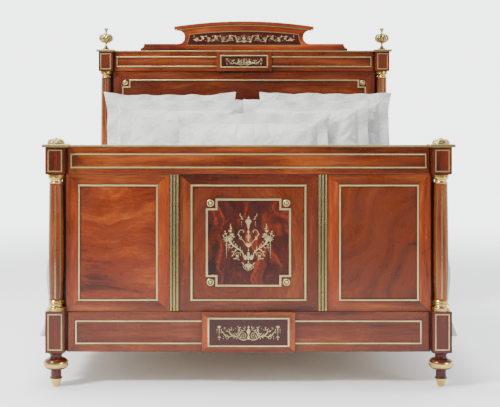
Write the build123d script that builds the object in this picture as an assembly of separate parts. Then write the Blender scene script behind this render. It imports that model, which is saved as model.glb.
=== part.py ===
from build123d import *
import math
import os

# A panelled bed in the Louis XVI manner. Millimetres, +Z up, resting on Z = 0.
# The bed runs along Y, footboard at -Y and headboard at +Y, and is symmetric in X.
# The show faces of both boards look towards -Y.

# ------------------------------------------------------------------ driving sizes
# Posts: a turned foot, a square block, a fluted column, a second block and a cap.
POST_SPACING_ACROSS = 1550
POST_SPACING_ALONG = 2050
BLOCK = 78
BLOCK_EASING = 2
LOWER_BLOCK_HEIGHT = 166
TOP_BLOCK_HEIGHT = 109
FOOT_COLUMN_HEIGHT = 548
HEAD_COLUMN_HEIGHT = 1029

# Turned foot, from the floor up.
TIP_HEIGHT = 32
TIP_REST_RADIUS = 11
TIP_RADIUS = 20
COLLAR_HEIGHT = 8
COLLAR_RADIUS = 26
STEM_HEIGHT = 30
STEM_RADIUS = 21
TOP_HEIGHT = 46
TOP_RADIUS = 49.5
BAND_HEIGHT = 22
BAND_CORE_RADIUS = 42
NECK_HEIGHT = 16
NECK_RADIUS = 26
BEAD_HEIGHT = 8
BEAD_RADIUS = 32

# Column with its brass base and capital, strung on a dowel.
DOWEL_RADIUS = 12
BASE_HEIGHT = 42
BASE_RADIUS = 36.5
BASE_RING_PROUD = 1.5
CAPITAL_HEIGHT = 37
CAPITAL_RADIUS = 33
SHAFT_FOOT_RADIUS = 26
SHAFT_SWELL_RADIUS = 30
SHAFT_NECK_RADIUS = 26.5
SHAFT_SWELL_AT = 0.33
FLUTES = 8
FLUTE_WIDTH = 7
FLUTE_DEPTH = 4.5
FLUTE_END_MARGIN = 8
FLUTE_STRIP_SETBACK = 0.4

# Brass stringing let into the blocks.
STRING_INSET = 10
STRING_WIDTH = 4.5
STRING_DEPTH = 1.5
STRING_PROUD = 0.3

# Caps on the posts.
CAP_OVERHANG = 12.5
CAP_THICKNESS = 12
CAP_EASING = 4.5
BOSS_RADIUS = 35
BOSS_HEIGHT = 26
FINIAL_HEIGHT = 120
FINIAL_URN_RADIUS = 37

# Frames of the footboard and headboard.
FRAME_THICKNESS = 28
FRAME_SETBACK = 50
RAIL_NECK = 6
RAIL_NECK_INSET = 8
RAIL_EASING = 2.5
LATH_REACH = 18
LATH_THICKNESS = 5
LATH_CLEARANCE = 1.5
RAIL_BELOW_BLOCK = 4
RAIL_BELOW_BLOCK_TOP = 7
BORDER_RECESS = 6
FIELD_RECESS = 10
PANEL_THICKNESS = 14
STRIP_THICKNESS = 8
STRIP_OVERHANG = 3

# Footboard bays, half sizes measured from the middle of the bed.
STILE_WIDTH = 46
SIDE_BAY_INNER = 365
CENTRE_BAY_HALF = 235
BAY_BORDER = 41

# Brass mouldings.
PANEL_BAR = 9.5
PANEL_BAR_PROUD = 3
RAIL_BAR = 7.5
RAIL_BAR_PROUD = 3
RAIL_BAR_INSET = 16
RAIL_BAR_DROP = 25
RAIL_BAR_LIFT = 23
LOW_RAIL_BAR_INSET = 36
LOW_RAIL_BAR_DROP = 35
LOW_RAIL_BAR_LIFT = 31
STEPPED_HALF_WIDTH = 173
STEPPED_HALF_HEIGHT = 179
STEP = 39
BUTTON_RADIUS = 15
BUTTON_HEIGHT = 9
BUTTON_INSET = 19
STEPPED_BAR_HEIGHT = 4

# Reeded pilasters between the bays.
REEDS = 3
REED_PITCH = 13
REED_RADIUS = 6
PILASTER_PLATE = 3
PILASTER_END_GAP = 2

# Tablets at the middle of the footboard's low rail and the headboard's top rail.
FOOT_TABLET_HALF = 189.5
HEAD_TABLET_HALF = 155.5
TABLET_PROUD = 14
FOOT_TABLET_MARGIN = (24, 22)
HEAD_TABLET_MARGIN = (21, 18)
TABLET_BAR = 8
INLAY_DEPTH = 2

# Headboard panel and its stepped moulding.
HEAD_STILE_WIDTH = 48
HEAD_BORDER = 46
HEAD_FIELD_BOTTOM = 650

# Crest above the headboard.
CREST_FOOT_HALF = 583
CREST_END_CUT = 20
CREST_SHOULDER = 38
CREST_WAIST_HALF = 371
CORNICE_HALF = 393
CORNICE_RISE = 30
CORNICE_TOP = 165
CORNICE_THICKNESS = 20
CORNICE_OVERHANG = 9
CREST_THICKNESS = 24
CREST_LINE = 6
CREST_LINE_RETURN = 15
CREST_PANEL_HALF_FOOT = 323
CREST_PANEL_HALF_HEAD = 306
CREST_PANEL_LIFT = 32
CREST_PANEL_MARGIN = 32
CREST_STRING = 4

# Side rails and the base they carry.
SIDE_RAIL_THICKNESS = 30
HOOK_PLATE = (4, 22, 120)
HOOK_REACH = 12
HOOK_SIZE = (5, 30)
HOOK_PITCH = 70
LEDGER_WIDTH = 30
LEDGER_HEIGHT = 25
LEDGER_LIFT = 29
LEDGER_END_GAP = 6
SLATS = 14
SLAT_WIDTH = 70
SLAT_THICKNESS = 18
SLAT_END_GAP = 3
SPRING_BASE_HEIGHT = 142
SPRING_BASE_GAP = 3
SOFT_CORNER = 40
SOFT_EDGE = 18

# Bedding.
MATTRESS_SIDE_MARGIN = 25
MATTRESS_HEIGHT = 225
MATTRESS_HEAD_GAP = 12
MATTRESS_FOOT_GAP = 20
REST_GAP = 0.3
COVER_THICKNESS = 10
COVER_END_GAP = 22
COVER_TUCK = 150
COVER_TUCK_THICKNESS = 6
COVER_HEM_HEIGHT = 186
COVER_BULGE = 54
COVER_HANG = 46
COVER_FLARE = 98
COVER_DROP_THICKNESS = 24
COVER_RAIL_GAP = 6
PILLOW_LEAN = 23
PILLOW_GAP = 4
FLANGE = 65
FLANGE_THICKNESS = 8
REAR_PILLOW = (747, 686, 128)
SECOND_PILLOW = (676, 640, 120)
FRONT_PILLOW = (828, 562, 130)
REAR_PILLOW_LEFT_X = -414
REAR_PILLOW_RIGHT_X = 452
SECOND_PILLOW_GAP = 6
FRONT_PILLOW_X = 47
PILLOW_BACK_GAP = 50

# ------------------------------------------------------------------ derived places
HALF_ACROSS = POST_SPACING_ACROSS / 2
HALF_ALONG = POST_SPACING_ALONG / 2
FOOT_HEIGHT = TIP_HEIGHT + COLLAR_HEIGHT + STEM_HEIGHT + TOP_HEIGHT + NECK_HEIGHT + BEAD_HEIGHT
LOWER_BLOCK_TOP = FOOT_HEIGHT + LOWER_BLOCK_HEIGHT
COLUMN_TOP = {-1: LOWER_BLOCK_TOP + FOOT_COLUMN_HEIGHT, 1: LOWER_BLOCK_TOP + HEAD_COLUMN_HEIGHT}
BLOCK_TOP = {end: top + TOP_BLOCK_HEIGHT for end, top in COLUMN_TOP.items()}
FACE = {end: end * HALF_ALONG - BLOCK / 2 + FRAME_SETBACK for end in (-1, 1)}
FRAME_HALF = HALF_ACROSS - BLOCK / 2
CAP_SIDE = BLOCK + 2 * CAP_OVERHANG
MATTRESS_HALF = HALF_ACROSS - MATTRESS_SIDE_MARGIN
RAIL_UNDERSIDE = FOOT_HEIGHT - RAIL_BELOW_BLOCK
LOW_RAIL_TOP = LOWER_BLOCK_TOP - RAIL_BELOW_BLOCK_TOP
POSTS = {"foot_left": (-1, -1), "foot_right": (1, -1), "head_left": (-1, 1), "head_right": (1, 1)}

parts = {}


# ------------------------------------------------------------------ building tools
def slab(x, y, z):
    """A box from three (low, high) pairs."""
    middle = Pos((x[0] + x[1]) / 2, (y[0] + y[1]) / 2, (z[0] + z[1]) / 2)
    return middle * Box(x[1] - x[0], y[1] - y[0], z[1] - z[0])


def upright(outline, y):
    """Extrudes a face drawn in X and Z through a (low, high) pair in Y."""
    return extrude(Pos(0, y[1], 0) * (Plane.XZ * outline), amount=y[1] - y[0])


def turned(start, *steps):
    """Turns a (radius, height) profile about Z; a step is a point, or (middle, end) of an arc."""
    edges = []
    at = start
    for step in steps:
        if isinstance(step[0], tuple):
            edges.append(ThreePointArc(at, step[0], step[1]))
            at = step[1]
        else:
            edges.append(Line(at, step))
            at = step
    edges.append(Line(at, (0, at[1])))
    edges.append(Line((0, at[1]), start))
    return revolve(Plane.XZ * make_face(edges), Axis.Z)


def eased_front(solid, radius):
    """Rounds the edges of the face nearest -Y."""
    return fillet(solid.faces().sort_by(Axis.Y)[0].edges(), radius)


def frame_bar(half, z, bar, y, centre=0):
    """A rectangular moulding standing in X and Z, its front edges rounded."""
    outer = slab((centre - half, centre + half), y, z)
    inner = slab((centre - half + bar, centre + half - bar), y, (z[0] + bar, z[1] - bar))
    return eased_front(outer - inner, min(bar / 2, y[1] - y[0]) * 0.8)


def stepped_outline(half_width, low, high, step):
    """A rectangle about X = 0 with a square step taken out of each corner."""
    wide, narrow = half_width, half_width - step
    quarter = [(narrow, high), (narrow, high - step), (wide, high - step)]
    lower = [(wide, low + step), (narrow, low + step), (narrow, low)]
    right = quarter + lower
    left = [(-x, z) for x, z in reversed(right)]
    return make_face(Polyline(*right, *left, close=True))


def stepped_bar(half_width, low, high, step, bar, y):
    """A moulding that follows a stepped rectangle, its front edges rounded."""
    outer = upright(stepped_outline(half_width, low, high, step), y)
    inner = upright(stepped_outline(half_width - bar, low + bar, high - bar, step), y)
    return eased_front(outer - inner, min(bar / 2, y[1] - y[0]) * 0.6)


def post_place(side, end):
    return Pos(side * HALF_ACROSS, end * HALF_ALONG, 0)


# ------------------------------------------------------------------ posts
def block_strings(side, low, high, show_face):
    """Stringing frames on a block's outer face and, where it is free, its show face."""
    half = BLOCK / 2
    depth = (-half - STRING_PROUD, -half + STRING_DEPTH)
    height = (low + STRING_INSET, high - STRING_INSET)
    inner = half - STRING_INSET
    outer = slab((-inner, inner), depth, height)
    opening = inner - STRING_WIDTH
    window = slab((-opening, opening), depth, (height[0] + STRING_WIDTH, height[1] - STRING_WIDTH))
    string = outer - window
    outer_string = Rot(Z=90 * side) * string
    return [string, outer_string] if show_face else [outer_string]


def square_block(low, high):
    block = slab((-BLOCK / 2, BLOCK / 2), (-BLOCK / 2, BLOCK / 2), (low, high))
    return fillet(block.edges().filter_by(Axis.Z), BLOCK_EASING)


def foot_turning():
    """The wooden foot between the brass tip and the block."""
    collar_top = TIP_HEIGHT + COLLAR_HEIGHT
    stem_top = collar_top + STEM_HEIGHT
    top_top = stem_top + TOP_HEIGHT
    neck_top = top_top + NECK_HEIGHT
    shoulder = NECK_RADIUS + 3
    return turned(
        (0, TIP_HEIGHT),
        (COLLAR_RADIUS - 3, TIP_HEIGHT),
        ((COLLAR_RADIUS, TIP_HEIGHT + COLLAR_HEIGHT / 2), (COLLAR_RADIUS - 3, collar_top)),
        (STEM_RADIUS, collar_top),
        (STEM_RADIUS, stem_top),
        ((TOP_RADIUS, stem_top + TOP_HEIGHT * 0.4), (shoulder, top_top)),
        (NECK_RADIUS, top_top),
        ((NECK_RADIUS - 2, top_top + NECK_HEIGHT / 2), (NECK_RADIUS, neck_top)),
        (BEAD_RADIUS - 3, neck_top),
        ((BEAD_RADIUS, neck_top + BEAD_HEIGHT / 2), (BEAD_RADIUS - 3, FOOT_HEIGHT)),
    )


def band_space():
    """The ring of space that the brass band of the foot fills."""
    middle = TIP_HEIGHT + COLLAR_HEIGHT + STEM_HEIGHT + TOP_HEIGHT * 0.45
    ring = Cylinder(TOP_RADIUS * 2, BAND_HEIGHT) - Cylinder(BAND_CORE_RADIUS, BAND_HEIGHT)
    return Pos(0, 0, middle) * ring


def hook_plate(side, end):
    """A steel plate in the end of a side rail, with two hooks that reach into the block."""
    block_face = end * (HALF_ALONG - BLOCK / 2)
    thick, wide, tall = HOOK_PLATE
    middle = (RAIL_UNDERSIDE + LOW_RAIL_TOP) / 2
    x = side * HALF_ACROSS
    y = sorted((block_face, block_face - end * thick))
    plate = slab((x - wide / 2, x + wide / 2), y, (middle - tall / 2, middle + tall / 2))
    reach = sorted((block_face, block_face + end * HOOK_REACH))
    for lift in (-HOOK_PITCH / 2, HOOK_PITCH / 2):
        height = (middle + lift - HOOK_SIZE[1] / 2, middle + lift + HOOK_SIZE[1] / 2)
        plate += slab((x - HOOK_SIZE[0] / 2, x + HOOK_SIZE[0] / 2), reach, height)
    return plate


def shaft_turning(low, high, shrink, dowels):
    """The column's wooden shaft, fullest a third of the way up."""
    foot = SHAFT_FOOT_RADIUS - shrink
    swell = SHAFT_SWELL_RADIUS - shrink
    neck = SHAFT_NECK_RADIUS - shrink
    length = high - low
    waist = low + SHAFT_SWELL_AT * length
    lower_arc = ((swell - (swell - foot) / 4, (low + waist) / 2), (swell, waist))
    upper_arc = ((swell - (swell - neck) / 4, (waist + high) / 2), (neck, high))
    shaft = turned((0, low), (foot, low), lower_arc, upper_arc)
    if dowels:
        span = length + BASE_HEIGHT + CAPITAL_HEIGHT
        centre = (low - BASE_HEIGHT + high + CAPITAL_HEIGHT) / 2
        shaft += Pos(0, 0, centre) * Cylinder(DOWEL_RADIUS, span)
    return shaft


def flute_spaces(low, high):
    """Boxes round the shaft whose inner faces are the flutes' floors."""
    floor = SHAFT_FOOT_RADIUS - FLUTE_DEPTH + 1
    reach = SHAFT_SWELL_RADIUS * 2
    width = (-FLUTE_WIDTH / 2, FLUTE_WIDTH / 2)
    bar = slab((floor, reach), width, (low + FLUTE_END_MARGIN, high - FLUTE_END_MARGIN))
    return [Rot(Z=360 / FLUTES * i) * bar for i in range(FLUTES)]


def column_base():
    """Brass base of the column: plinth, two rounds with a hollow between, and a ring."""
    wide = BASE_RADIUS
    body = turned(
        (0, 0),
        (wide, 0),
        (wide, 6),
        ((wide + BASE_RING_PROUD, 10), (wide - 1, 14)),
        ((wide - 9, 20), (wide - 7, 26)),
        ((wide - 5, 30), (wide - 8, 33)),
        (wide - 11, 33),
        (wide - 5, 35),
        (wide - 4, 38),
        (wide - 6, BASE_HEIGHT),
    )
    return body - Cylinder(DOWEL_RADIUS, BASE_HEIGHT * 3)


def column_capital():
    """Brass capital: a bead, a bell and a round abacus."""
    wide = CAPITAL_RADIUS
    body = turned(
        (0, 0),
        (wide - 6, 0),
        ((wide - 4, 3), (wide - 6, 6)),
        (wide - 8, 6),
        ((wide - 7.5, 16), (wide - 4, 19)),
        ((wide - 1.5, 22), (wide - 3, 26)),
        (wide, 27),
        (wide, CAPITAL_HEIGHT - 3),
        (wide - 2, CAPITAL_HEIGHT),
    )
    return body - Cylinder(DOWEL_RADIUS, CAPITAL_HEIGHT * 3)


def cap_plate():
    plate = Pos(0, 0, CAP_THICKNESS / 2) * Box(CAP_SIDE, CAP_SIDE, CAP_THICKNESS)
    plate = fillet(plate.edges().filter_by(Axis.Z), 3)
    return fillet(plate.faces().sort_by(Axis.Z)[-1].edges(), CAP_EASING)


def cap_boss():
    """Low domed boss on a footboard post."""
    wide = BOSS_RADIUS
    return turned(
        (0, 0),
        (wide, 0),
        ((wide + 0.5, 3), (wide - 2, 6)),
        ((wide - 9, 16), (wide - 20, 20)),
        ((wide - 26, BOSS_HEIGHT - 1), (0.5, BOSS_HEIGHT)),
    )


def finial():
    """Urn finial: ball foot, stem, melon urn, neck and a small cup."""
    urn = FINIAL_URN_RADIUS
    top = FINIAL_HEIGHT
    return turned(
        (0, 0),
        (9, 0),
        ((12, 11), (6, 22)),
        ((4.5, 30), (7, top - 82)),
        ((urn * 0.86, top - 74), (urn, top - 60)),
        ((urn * 0.84, top - 44), (9, top - 37)),
        ((5, top - 31), (5, top - 25)),
        ((7, top - 12), (11, top)),
    )


def make_posts():
    turning = foot_turning()
    band = turning & band_space()
    tip = turned(
        (0, 0),
        (TIP_REST_RADIUS, 0),
        ((TIP_RADIUS - 4, TIP_HEIGHT * 0.3), (TIP_RADIUS - 2, TIP_HEIGHT * 0.7)),
        (TIP_RADIUS, TIP_HEIGHT * 0.75),
        (TIP_RADIUS, TIP_HEIGHT),
    )
    groups = {name: [] for name in ("column_bases", "column_capitals", "foot_bands", "foot_tips")}
    groups |= {name: [] for name in ("flute_strips", "block_stringing", "cap_plates", "rail_hook_plates")}
    shafts = {}
    for end in (-1, 1):
        low = LOWER_BLOCK_TOP + BASE_HEIGHT
        high = COLUMN_TOP[end] - CAPITAL_HEIGHT
        spaces = flute_spaces(low, high)
        core = shaft_turning(low, high, FLUTE_STRIP_SETBACK, False)
        strips = [core & space for space in spaces]
        shafts[end] = (shaft_turning(low, high, 0, True) - spaces, strips)
    for name, (side, end) in POSTS.items():
        place = post_place(side, end)
        lower_strings = block_strings(side, FOOT_HEIGHT, LOWER_BLOCK_TOP, end < 0)
        upper_strings = block_strings(side, COLUMN_TOP[end], BLOCK_TOP[end], True)
        base = square_block(FOOT_HEIGHT, LOWER_BLOCK_TOP) + (turning - band_space())
        hooks = hook_plate(side, end)
        parts[f"post_base_{name}"] = place * (base - lower_strings) - hooks
        parts[f"top_block_{name}"] = place * (square_block(COLUMN_TOP[end], BLOCK_TOP[end]) - upper_strings)
        shaft, strips = shafts[end]
        parts[f"column_{name}"] = place * shaft
        groups["column_bases"].append(place * Pos(0, 0, LOWER_BLOCK_TOP) * column_base())
        capital_low = COLUMN_TOP[end] - CAPITAL_HEIGHT
        groups["column_capitals"].append(place * Pos(0, 0, capital_low) * column_capital())
        groups["foot_bands"].append(place * band)
        groups["foot_tips"].append(place * tip)
        groups["flute_strips"] += [place * strip for strip in strips]
        groups["block_stringing"] += [place * string for string in lower_strings + upper_strings]
        groups["cap_plates"].append(place * Pos(0, 0, BLOCK_TOP[end]) * cap_plate())
        groups["rail_hook_plates"].append(hooks)
    for name, solids in groups.items():
        parts[name] = Compound(children=solids)
    for end, name, ornament in ((-1, "cap_bosses", cap_boss()), (1, "finials", finial())):
        seat = Pos(0, 0, BLOCK_TOP[end] + CAP_THICKNESS)
        parts[name] = Compound(children=[post_place(side, end) * seat * ornament for side in (-1, 1)])


# ------------------------------------------------------------------ boards
def rail(end, z):
    """A frame rail, its ends thinned to a neck where it meets the blocks."""
    face = FACE[end]
    length = FRAME_HALF - RAIL_NECK
    body = eased_front(slab((-length, length), (face, face + FRAME_THICKNESS), z), RAIL_EASING)
    neck_y = (face + RAIL_NECK_INSET, face + FRAME_THICKNESS - RAIL_NECK_INSET)
    return body + slab((-FRAME_HALF, FRAME_HALF), neck_y, z)


def upright_board(end, x, z):
    """A stile or muntin, its face behind the rails' face."""
    face = FACE[end]
    return slab(x, (face + BORDER_RECESS, face + FRAME_THICKNESS), z)


def outer_stile(end, side, inner, z):
    """A stile next to a column, with a thin lath at its back that closes the gap behind the column.

    The lath is cut away where it would come too near the column's brass base.
    """
    back = FACE[end] + FRAME_THICKNESS
    lath_x = sorted((side * FRAME_HALF, side * (FRAME_HALF + LATH_REACH)))
    lath = slab(lath_x, (back - LATH_THICKNESS, back), (LOWER_BLOCK_TOP, z[1]))
    base_room = Cylinder(BASE_RADIUS + BASE_RING_PROUD + LATH_CLEARANCE, 2 * BASE_HEIGHT)
    lath -= Pos(side * HALF_ACROSS, end * HALF_ALONG, LOWER_BLOCK_TOP) * base_room
    return upright_board(end, sorted((side * inner, side * FRAME_HALF)), z) + lath


def bay_panel(end, x, z, field):
    """A panel board with a raised border round a field let in from the front."""
    face = FACE[end]
    back = face + BORDER_RECESS + PANEL_THICKNESS
    board = slab(x, (face + BORDER_RECESS, back), z)
    return board - field


def tablet(end, half, z, margin):
    """A tablet on the face of a rail, with its brass frame and let-in dark panel."""
    face = FACE[end] - TABLET_PROUD
    block = eased_front(slab((-half, half), (face, FACE[end]), z), RAIL_EASING)
    frame_half = half - margin[0]
    frame_z = (z[0] + margin[1], z[1] - margin[1])
    brass = frame_bar(frame_half, frame_z, TABLET_BAR, (face - RAIL_BAR_PROUD, face))
    panel_half = frame_half - TABLET_BAR
    panel_z = (frame_z[0] + TABLET_BAR, frame_z[1] - TABLET_BAR)
    panel = slab((-panel_half, panel_half), (face, face + INLAY_DEPTH), panel_z)
    return block - panel, brass, panel


def rail_bar(end, half, z):
    face = FACE[end]
    return frame_bar(half, z, RAIL_BAR, (face - RAIL_BAR_PROUD, face))


def button(end, x, z):
    """A turned round button on the border of a panel."""
    profile = turned(
        (0, 0),
        (BUTTON_RADIUS, 0),
        ((BUTTON_RADIUS - 1, BUTTON_HEIGHT * 0.7), (BUTTON_RADIUS * 0.66, BUTTON_HEIGHT * 0.75)),
        (BUTTON_RADIUS * 0.5, BUTTON_HEIGHT * 0.45),
        ((BUTTON_RADIUS * 0.36, BUTTON_HEIGHT), (0.3, BUTTON_HEIGHT)),
    )
    return Pos(x, end, z) * Rot(X=90) * profile


def buttons_at(seat, half_width, low, high):
    """Four buttons, each in the middle of a corner step."""
    x = half_width - BUTTON_INSET
    rows = (low + BUTTON_INSET, high - BUTTON_INSET)
    return [button(seat, side * x, z) for side in (-1, 1) for z in rows]


def make_footboard():
    end = -1
    face = FACE[end]
    top_z = (COLUMN_TOP[end], BLOCK_TOP[end])
    low_z = (RAIL_UNDERSIDE, LOW_RAIL_TOP)
    zone = (LOW_RAIL_TOP, COLUMN_TOP[end])
    parts["footboard_top_rail"] = rail(end, top_z)
    parts["footboard_bottom_rail"] = rail(end, low_z)
    stile_inner = FRAME_HALF - STILE_WIDTH
    for side, name in ((-1, "left"), (1, "right")):
        muntin = sorted((side * CENTRE_BAY_HALF, side * SIDE_BAY_INNER))
        parts[f"footboard_stile_{name}"] = outer_stile(end, side, stile_inner, zone)
        parts[f"footboard_muntin_{name}"] = upright_board(end, muntin, zone)

    moulding_z = (zone[0] + BAY_BORDER, zone[1] - BAY_BORDER)
    depth = (face + BORDER_RECESS - PANEL_BAR_PROUD, face + FIELD_RECESS)
    pocket = (face, face + FIELD_RECESS)
    side_half = (stile_inner - SIDE_BAY_INNER) / 2
    side_centre = (stile_inner + SIDE_BAY_INNER) / 2
    bays = {"left": (-side_centre, side_half), "right": (side_centre, side_half)}
    bays["centre"] = (0, CENTRE_BAY_HALF)
    mouldings = []
    for name, (centre, half) in bays.items():
        x = (centre - half, centre + half)
        field = slab(x, pocket, moulding_z)
        parts[f"footboard_panel_{name}"] = bay_panel(end, x, zone, field)
        mouldings.append(frame_bar(half, moulding_z, PANEL_BAR, depth, centre))
    parts["panel_mouldings"] = Compound(children=mouldings)

    middle = (moulding_z[0] + moulding_z[1]) / 2
    stepped_z = (middle - STEPPED_HALF_HEIGHT, middle + STEPPED_HALF_HEIGHT)
    stepped_y = (face + FIELD_RECESS - STEPPED_BAR_HEIGHT, face + FIELD_RECESS)
    stepped = stepped_bar(STEPPED_HALF_WIDTH, *stepped_z, STEP, PANEL_BAR, stepped_y)

    pilaster_z = (zone[0] + PILASTER_END_GAP, zone[1] - PILASTER_END_GAP)
    wide = REED_PITCH * (REEDS - 1) / 2 + REED_RADIUS
    seat = face + BORDER_RECESS
    pilasters = []
    for side in (-1, 1):
        centre = side * (CENTRE_BAY_HALF + SIDE_BAY_INNER) / 2
        plate = slab((centre - wide, centre + wide), (seat - PILASTER_PLATE, seat), pilaster_z)
        for i in range(REEDS):
            x = centre + (i - (REEDS - 1) / 2) * REED_PITCH
            reed = Cylinder(REED_RADIUS, pilaster_z[1] - pilaster_z[0])
            reed = Pos(x, seat - PILASTER_PLATE, sum(pilaster_z) / 2) * reed
            plate += reed - slab((x - REED_PITCH, x + REED_PITCH), (seat, seat + REED_PITCH), pilaster_z)
        pilasters.append(plate)
    parts["pilasters"] = Compound(children=pilasters)

    board, brass, panel = tablet(end, FOOT_TABLET_HALF, low_z, FOOT_TABLET_MARGIN)
    parts["footboard_tablet"] = board
    half = FRAME_HALF - RAIL_BAR_INSET
    upper = rail_bar(end, half, (top_z[0] + RAIL_BAR_LIFT, top_z[1] - RAIL_BAR_DROP))
    low_bar_z = (low_z[0] + LOW_RAIL_BAR_LIFT, low_z[1] - LOW_RAIL_BAR_DROP)
    lower = rail_bar(end, FRAME_HALF - LOW_RAIL_BAR_INSET, low_bar_z)
    cover = slab((-FOOT_TABLET_HALF, FOOT_TABLET_HALF), (face - TABLET_PROUD, face), low_z)
    buttons = buttons_at(face + FIELD_RECESS, STEPPED_HALF_WIDTH, *stepped_z)
    return [upper, *(lower - cover).solids()], stepped, brass, panel, buttons


def make_headboard():
    end = 1
    face = FACE[end]
    top_z = (COLUMN_TOP[end], BLOCK_TOP[end])
    zone = (LOW_RAIL_TOP, COLUMN_TOP[end])
    parts["headboard_top_rail"] = rail(end, top_z)
    parts["headboard_bottom_rail"] = rail(end, (RAIL_UNDERSIDE, LOW_RAIL_TOP))
    inner = FRAME_HALF - HEAD_STILE_WIDTH
    stiles = [outer_stile(end, side, inner, zone) for side in (-1, 1)]
    parts["headboard_stiles"] = Compound(children=stiles)
    field_z = (HEAD_FIELD_BOTTOM, zone[1] - HEAD_BORDER)
    pocket = upright(stepped_outline(inner, *field_z, STEP), (face, face + FIELD_RECESS))
    parts["headboard_panel"] = bay_panel(end, (-inner, inner), zone, pocket)
    depth = (face + BORDER_RECESS - PANEL_BAR_PROUD, face + FIELD_RECESS)
    stepped = stepped_bar(inner, *field_z, STEP, PANEL_BAR, depth)
    board, brass, panel = tablet(end, HEAD_TABLET_HALF, top_z, HEAD_TABLET_MARGIN)
    parts["headboard_tablet"] = board
    half = FRAME_HALF - RAIL_BAR_INSET
    bar = rail_bar(end, half, (top_z[0] + RAIL_BAR_LIFT, top_z[1] - RAIL_BAR_DROP))
    cover = slab((-HEAD_TABLET_HALF, HEAD_TABLET_HALF), (face - TABLET_PROUD, face), top_z)
    buttons = buttons_at(face + BORDER_RECESS, inner, *field_z)
    return [*(bar - cover).solids()], stepped, brass, panel, buttons


def capping_strip(end):
    """Brass strip along the top of a board, between the caps of its posts."""
    half = HALF_ACROSS - CAP_SIDE / 2
    face = FACE[end]
    y = (face - STRIP_OVERHANG, face + FRAME_THICKNESS + STRIP_OVERHANG)
    strip = slab((-half, half), y, (BLOCK_TOP[end], BLOCK_TOP[end] + STRIP_THICKNESS))
    return fillet(strip.edges().filter_by(Axis.X), 2)


# ------------------------------------------------------------------ crest
def bow(half, drop):
    """Half width and height of an arc that runs parallel below the cornice's top."""
    top = BLOCK_TOP[1] + STRIP_THICKNESS + CORNICE_TOP
    radius = (CORNICE_HALF**2 + CORNICE_RISE**2) / (2 * CORNICE_RISE)
    fall = radius - math.sqrt(radius**2 - half**2)
    return half, top - drop - fall


def bow_arc(half, drop):
    x, z = bow(half, drop)
    return ThreePointArc((-x, z), bow(0, drop), (x, z))


def bow_strip(half, drop, thickness, y):
    """A bowed strip of even height."""
    upper = bow_arc(half, drop)
    lower = bow_arc(half, drop + thickness)
    sides = [Line(bow(s, drop), bow(s, drop + thickness)) for s in (half, -half)]
    return upright(make_face([upper, lower, *sides]), y)


def crest_outline():
    """Board with stepped ends, flat shoulders and hollowed sides under a bowed top."""
    foot = BLOCK_TOP[1] + STRIP_THICKNESS
    shoulder = foot + CREST_SHOULDER
    drop = CORNICE_THICKNESS + CREST_LINE
    waist, top = bow(CREST_WAIST_HALF, drop)
    hollow = (top - shoulder) / 2
    edges = [bow_arc(CREST_WAIST_HALF, drop), Line((-CREST_FOOT_HALF, foot), (CREST_FOOT_HALF, foot))]
    end_low = foot + CREST_SHOULDER / 3
    end_top = CREST_FOOT_HALF - CREST_END_CUT
    bend = (CREST_FOOT_HALF - CREST_END_CUT * 0.75, end_low + (shoulder - end_low) * 0.3)
    right = [(CREST_FOOT_HALF, foot), (CREST_FOOT_HALF, end_low), bend, (end_top, shoulder)]
    right += [(waist, shoulder), (waist - hollow, shoulder + hollow), (waist, top)]
    for side in (-1, 1):
        corner, low, inward, end, foot_of_hollow, hollow_middle, head = [(side * x, z) for x, z in right]
        edges += [Line(corner, low), ThreePointArc(low, inward, end)]
        edges += [Line(end, foot_of_hollow), ThreePointArc(foot_of_hollow, hollow_middle, head)]
    return make_face(edges)


def crest_panel_outline(grow):
    """Dark panel of the crest: flat foot, hollowed sides and a bowed head."""
    foot = BLOCK_TOP[1] + STRIP_THICKNESS + CREST_PANEL_LIFT - grow
    low = CREST_PANEL_HALF_FOOT + grow
    high = CREST_PANEL_HALF_HEAD + grow
    drop = CORNICE_THICKNESS + CREST_LINE + CREST_PANEL_MARGIN - grow
    x, z = bow(high, drop)
    edges = [bow_arc(high, drop), Line((-low, foot), (low, foot))]
    bend = (x + (low - x) * 0.25, (foot + z) / 2)
    for side in (-1, 1):
        edges.append(ThreePointArc((side * low, foot), (side * bend[0], bend[1]), (side * x, z)))
    return make_face(edges)


def make_crest():
    back = FACE[1] + (FRAME_THICKNESS + CREST_THICKNESS) / 2
    front = back - CREST_THICKNESS
    let_in = (front, front + INLAY_DEPTH)
    panel = upright(crest_panel_outline(0), let_in)
    string = upright(crest_panel_outline(CREST_STRING), let_in) - panel
    parts["crest_board"] = upright(crest_outline(), (front, back)) - panel - string
    over = (front - CORNICE_OVERHANG, back + CORNICE_OVERHANG)
    parts["crest_cornice"] = eased_front(bow_strip(CORNICE_HALF, 0, CORNICE_THICKNESS, over), 4)
    line_half = CORNICE_HALF - CREST_LINE_RETURN
    line_y = (front - CORNICE_OVERHANG / 3, back + CORNICE_OVERHANG / 3)
    line = bow_strip(line_half, CORNICE_THICKNESS, CREST_LINE, line_y)
    parts["crest_stringing"] = Compound(children=[string, line])
    return panel


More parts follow.
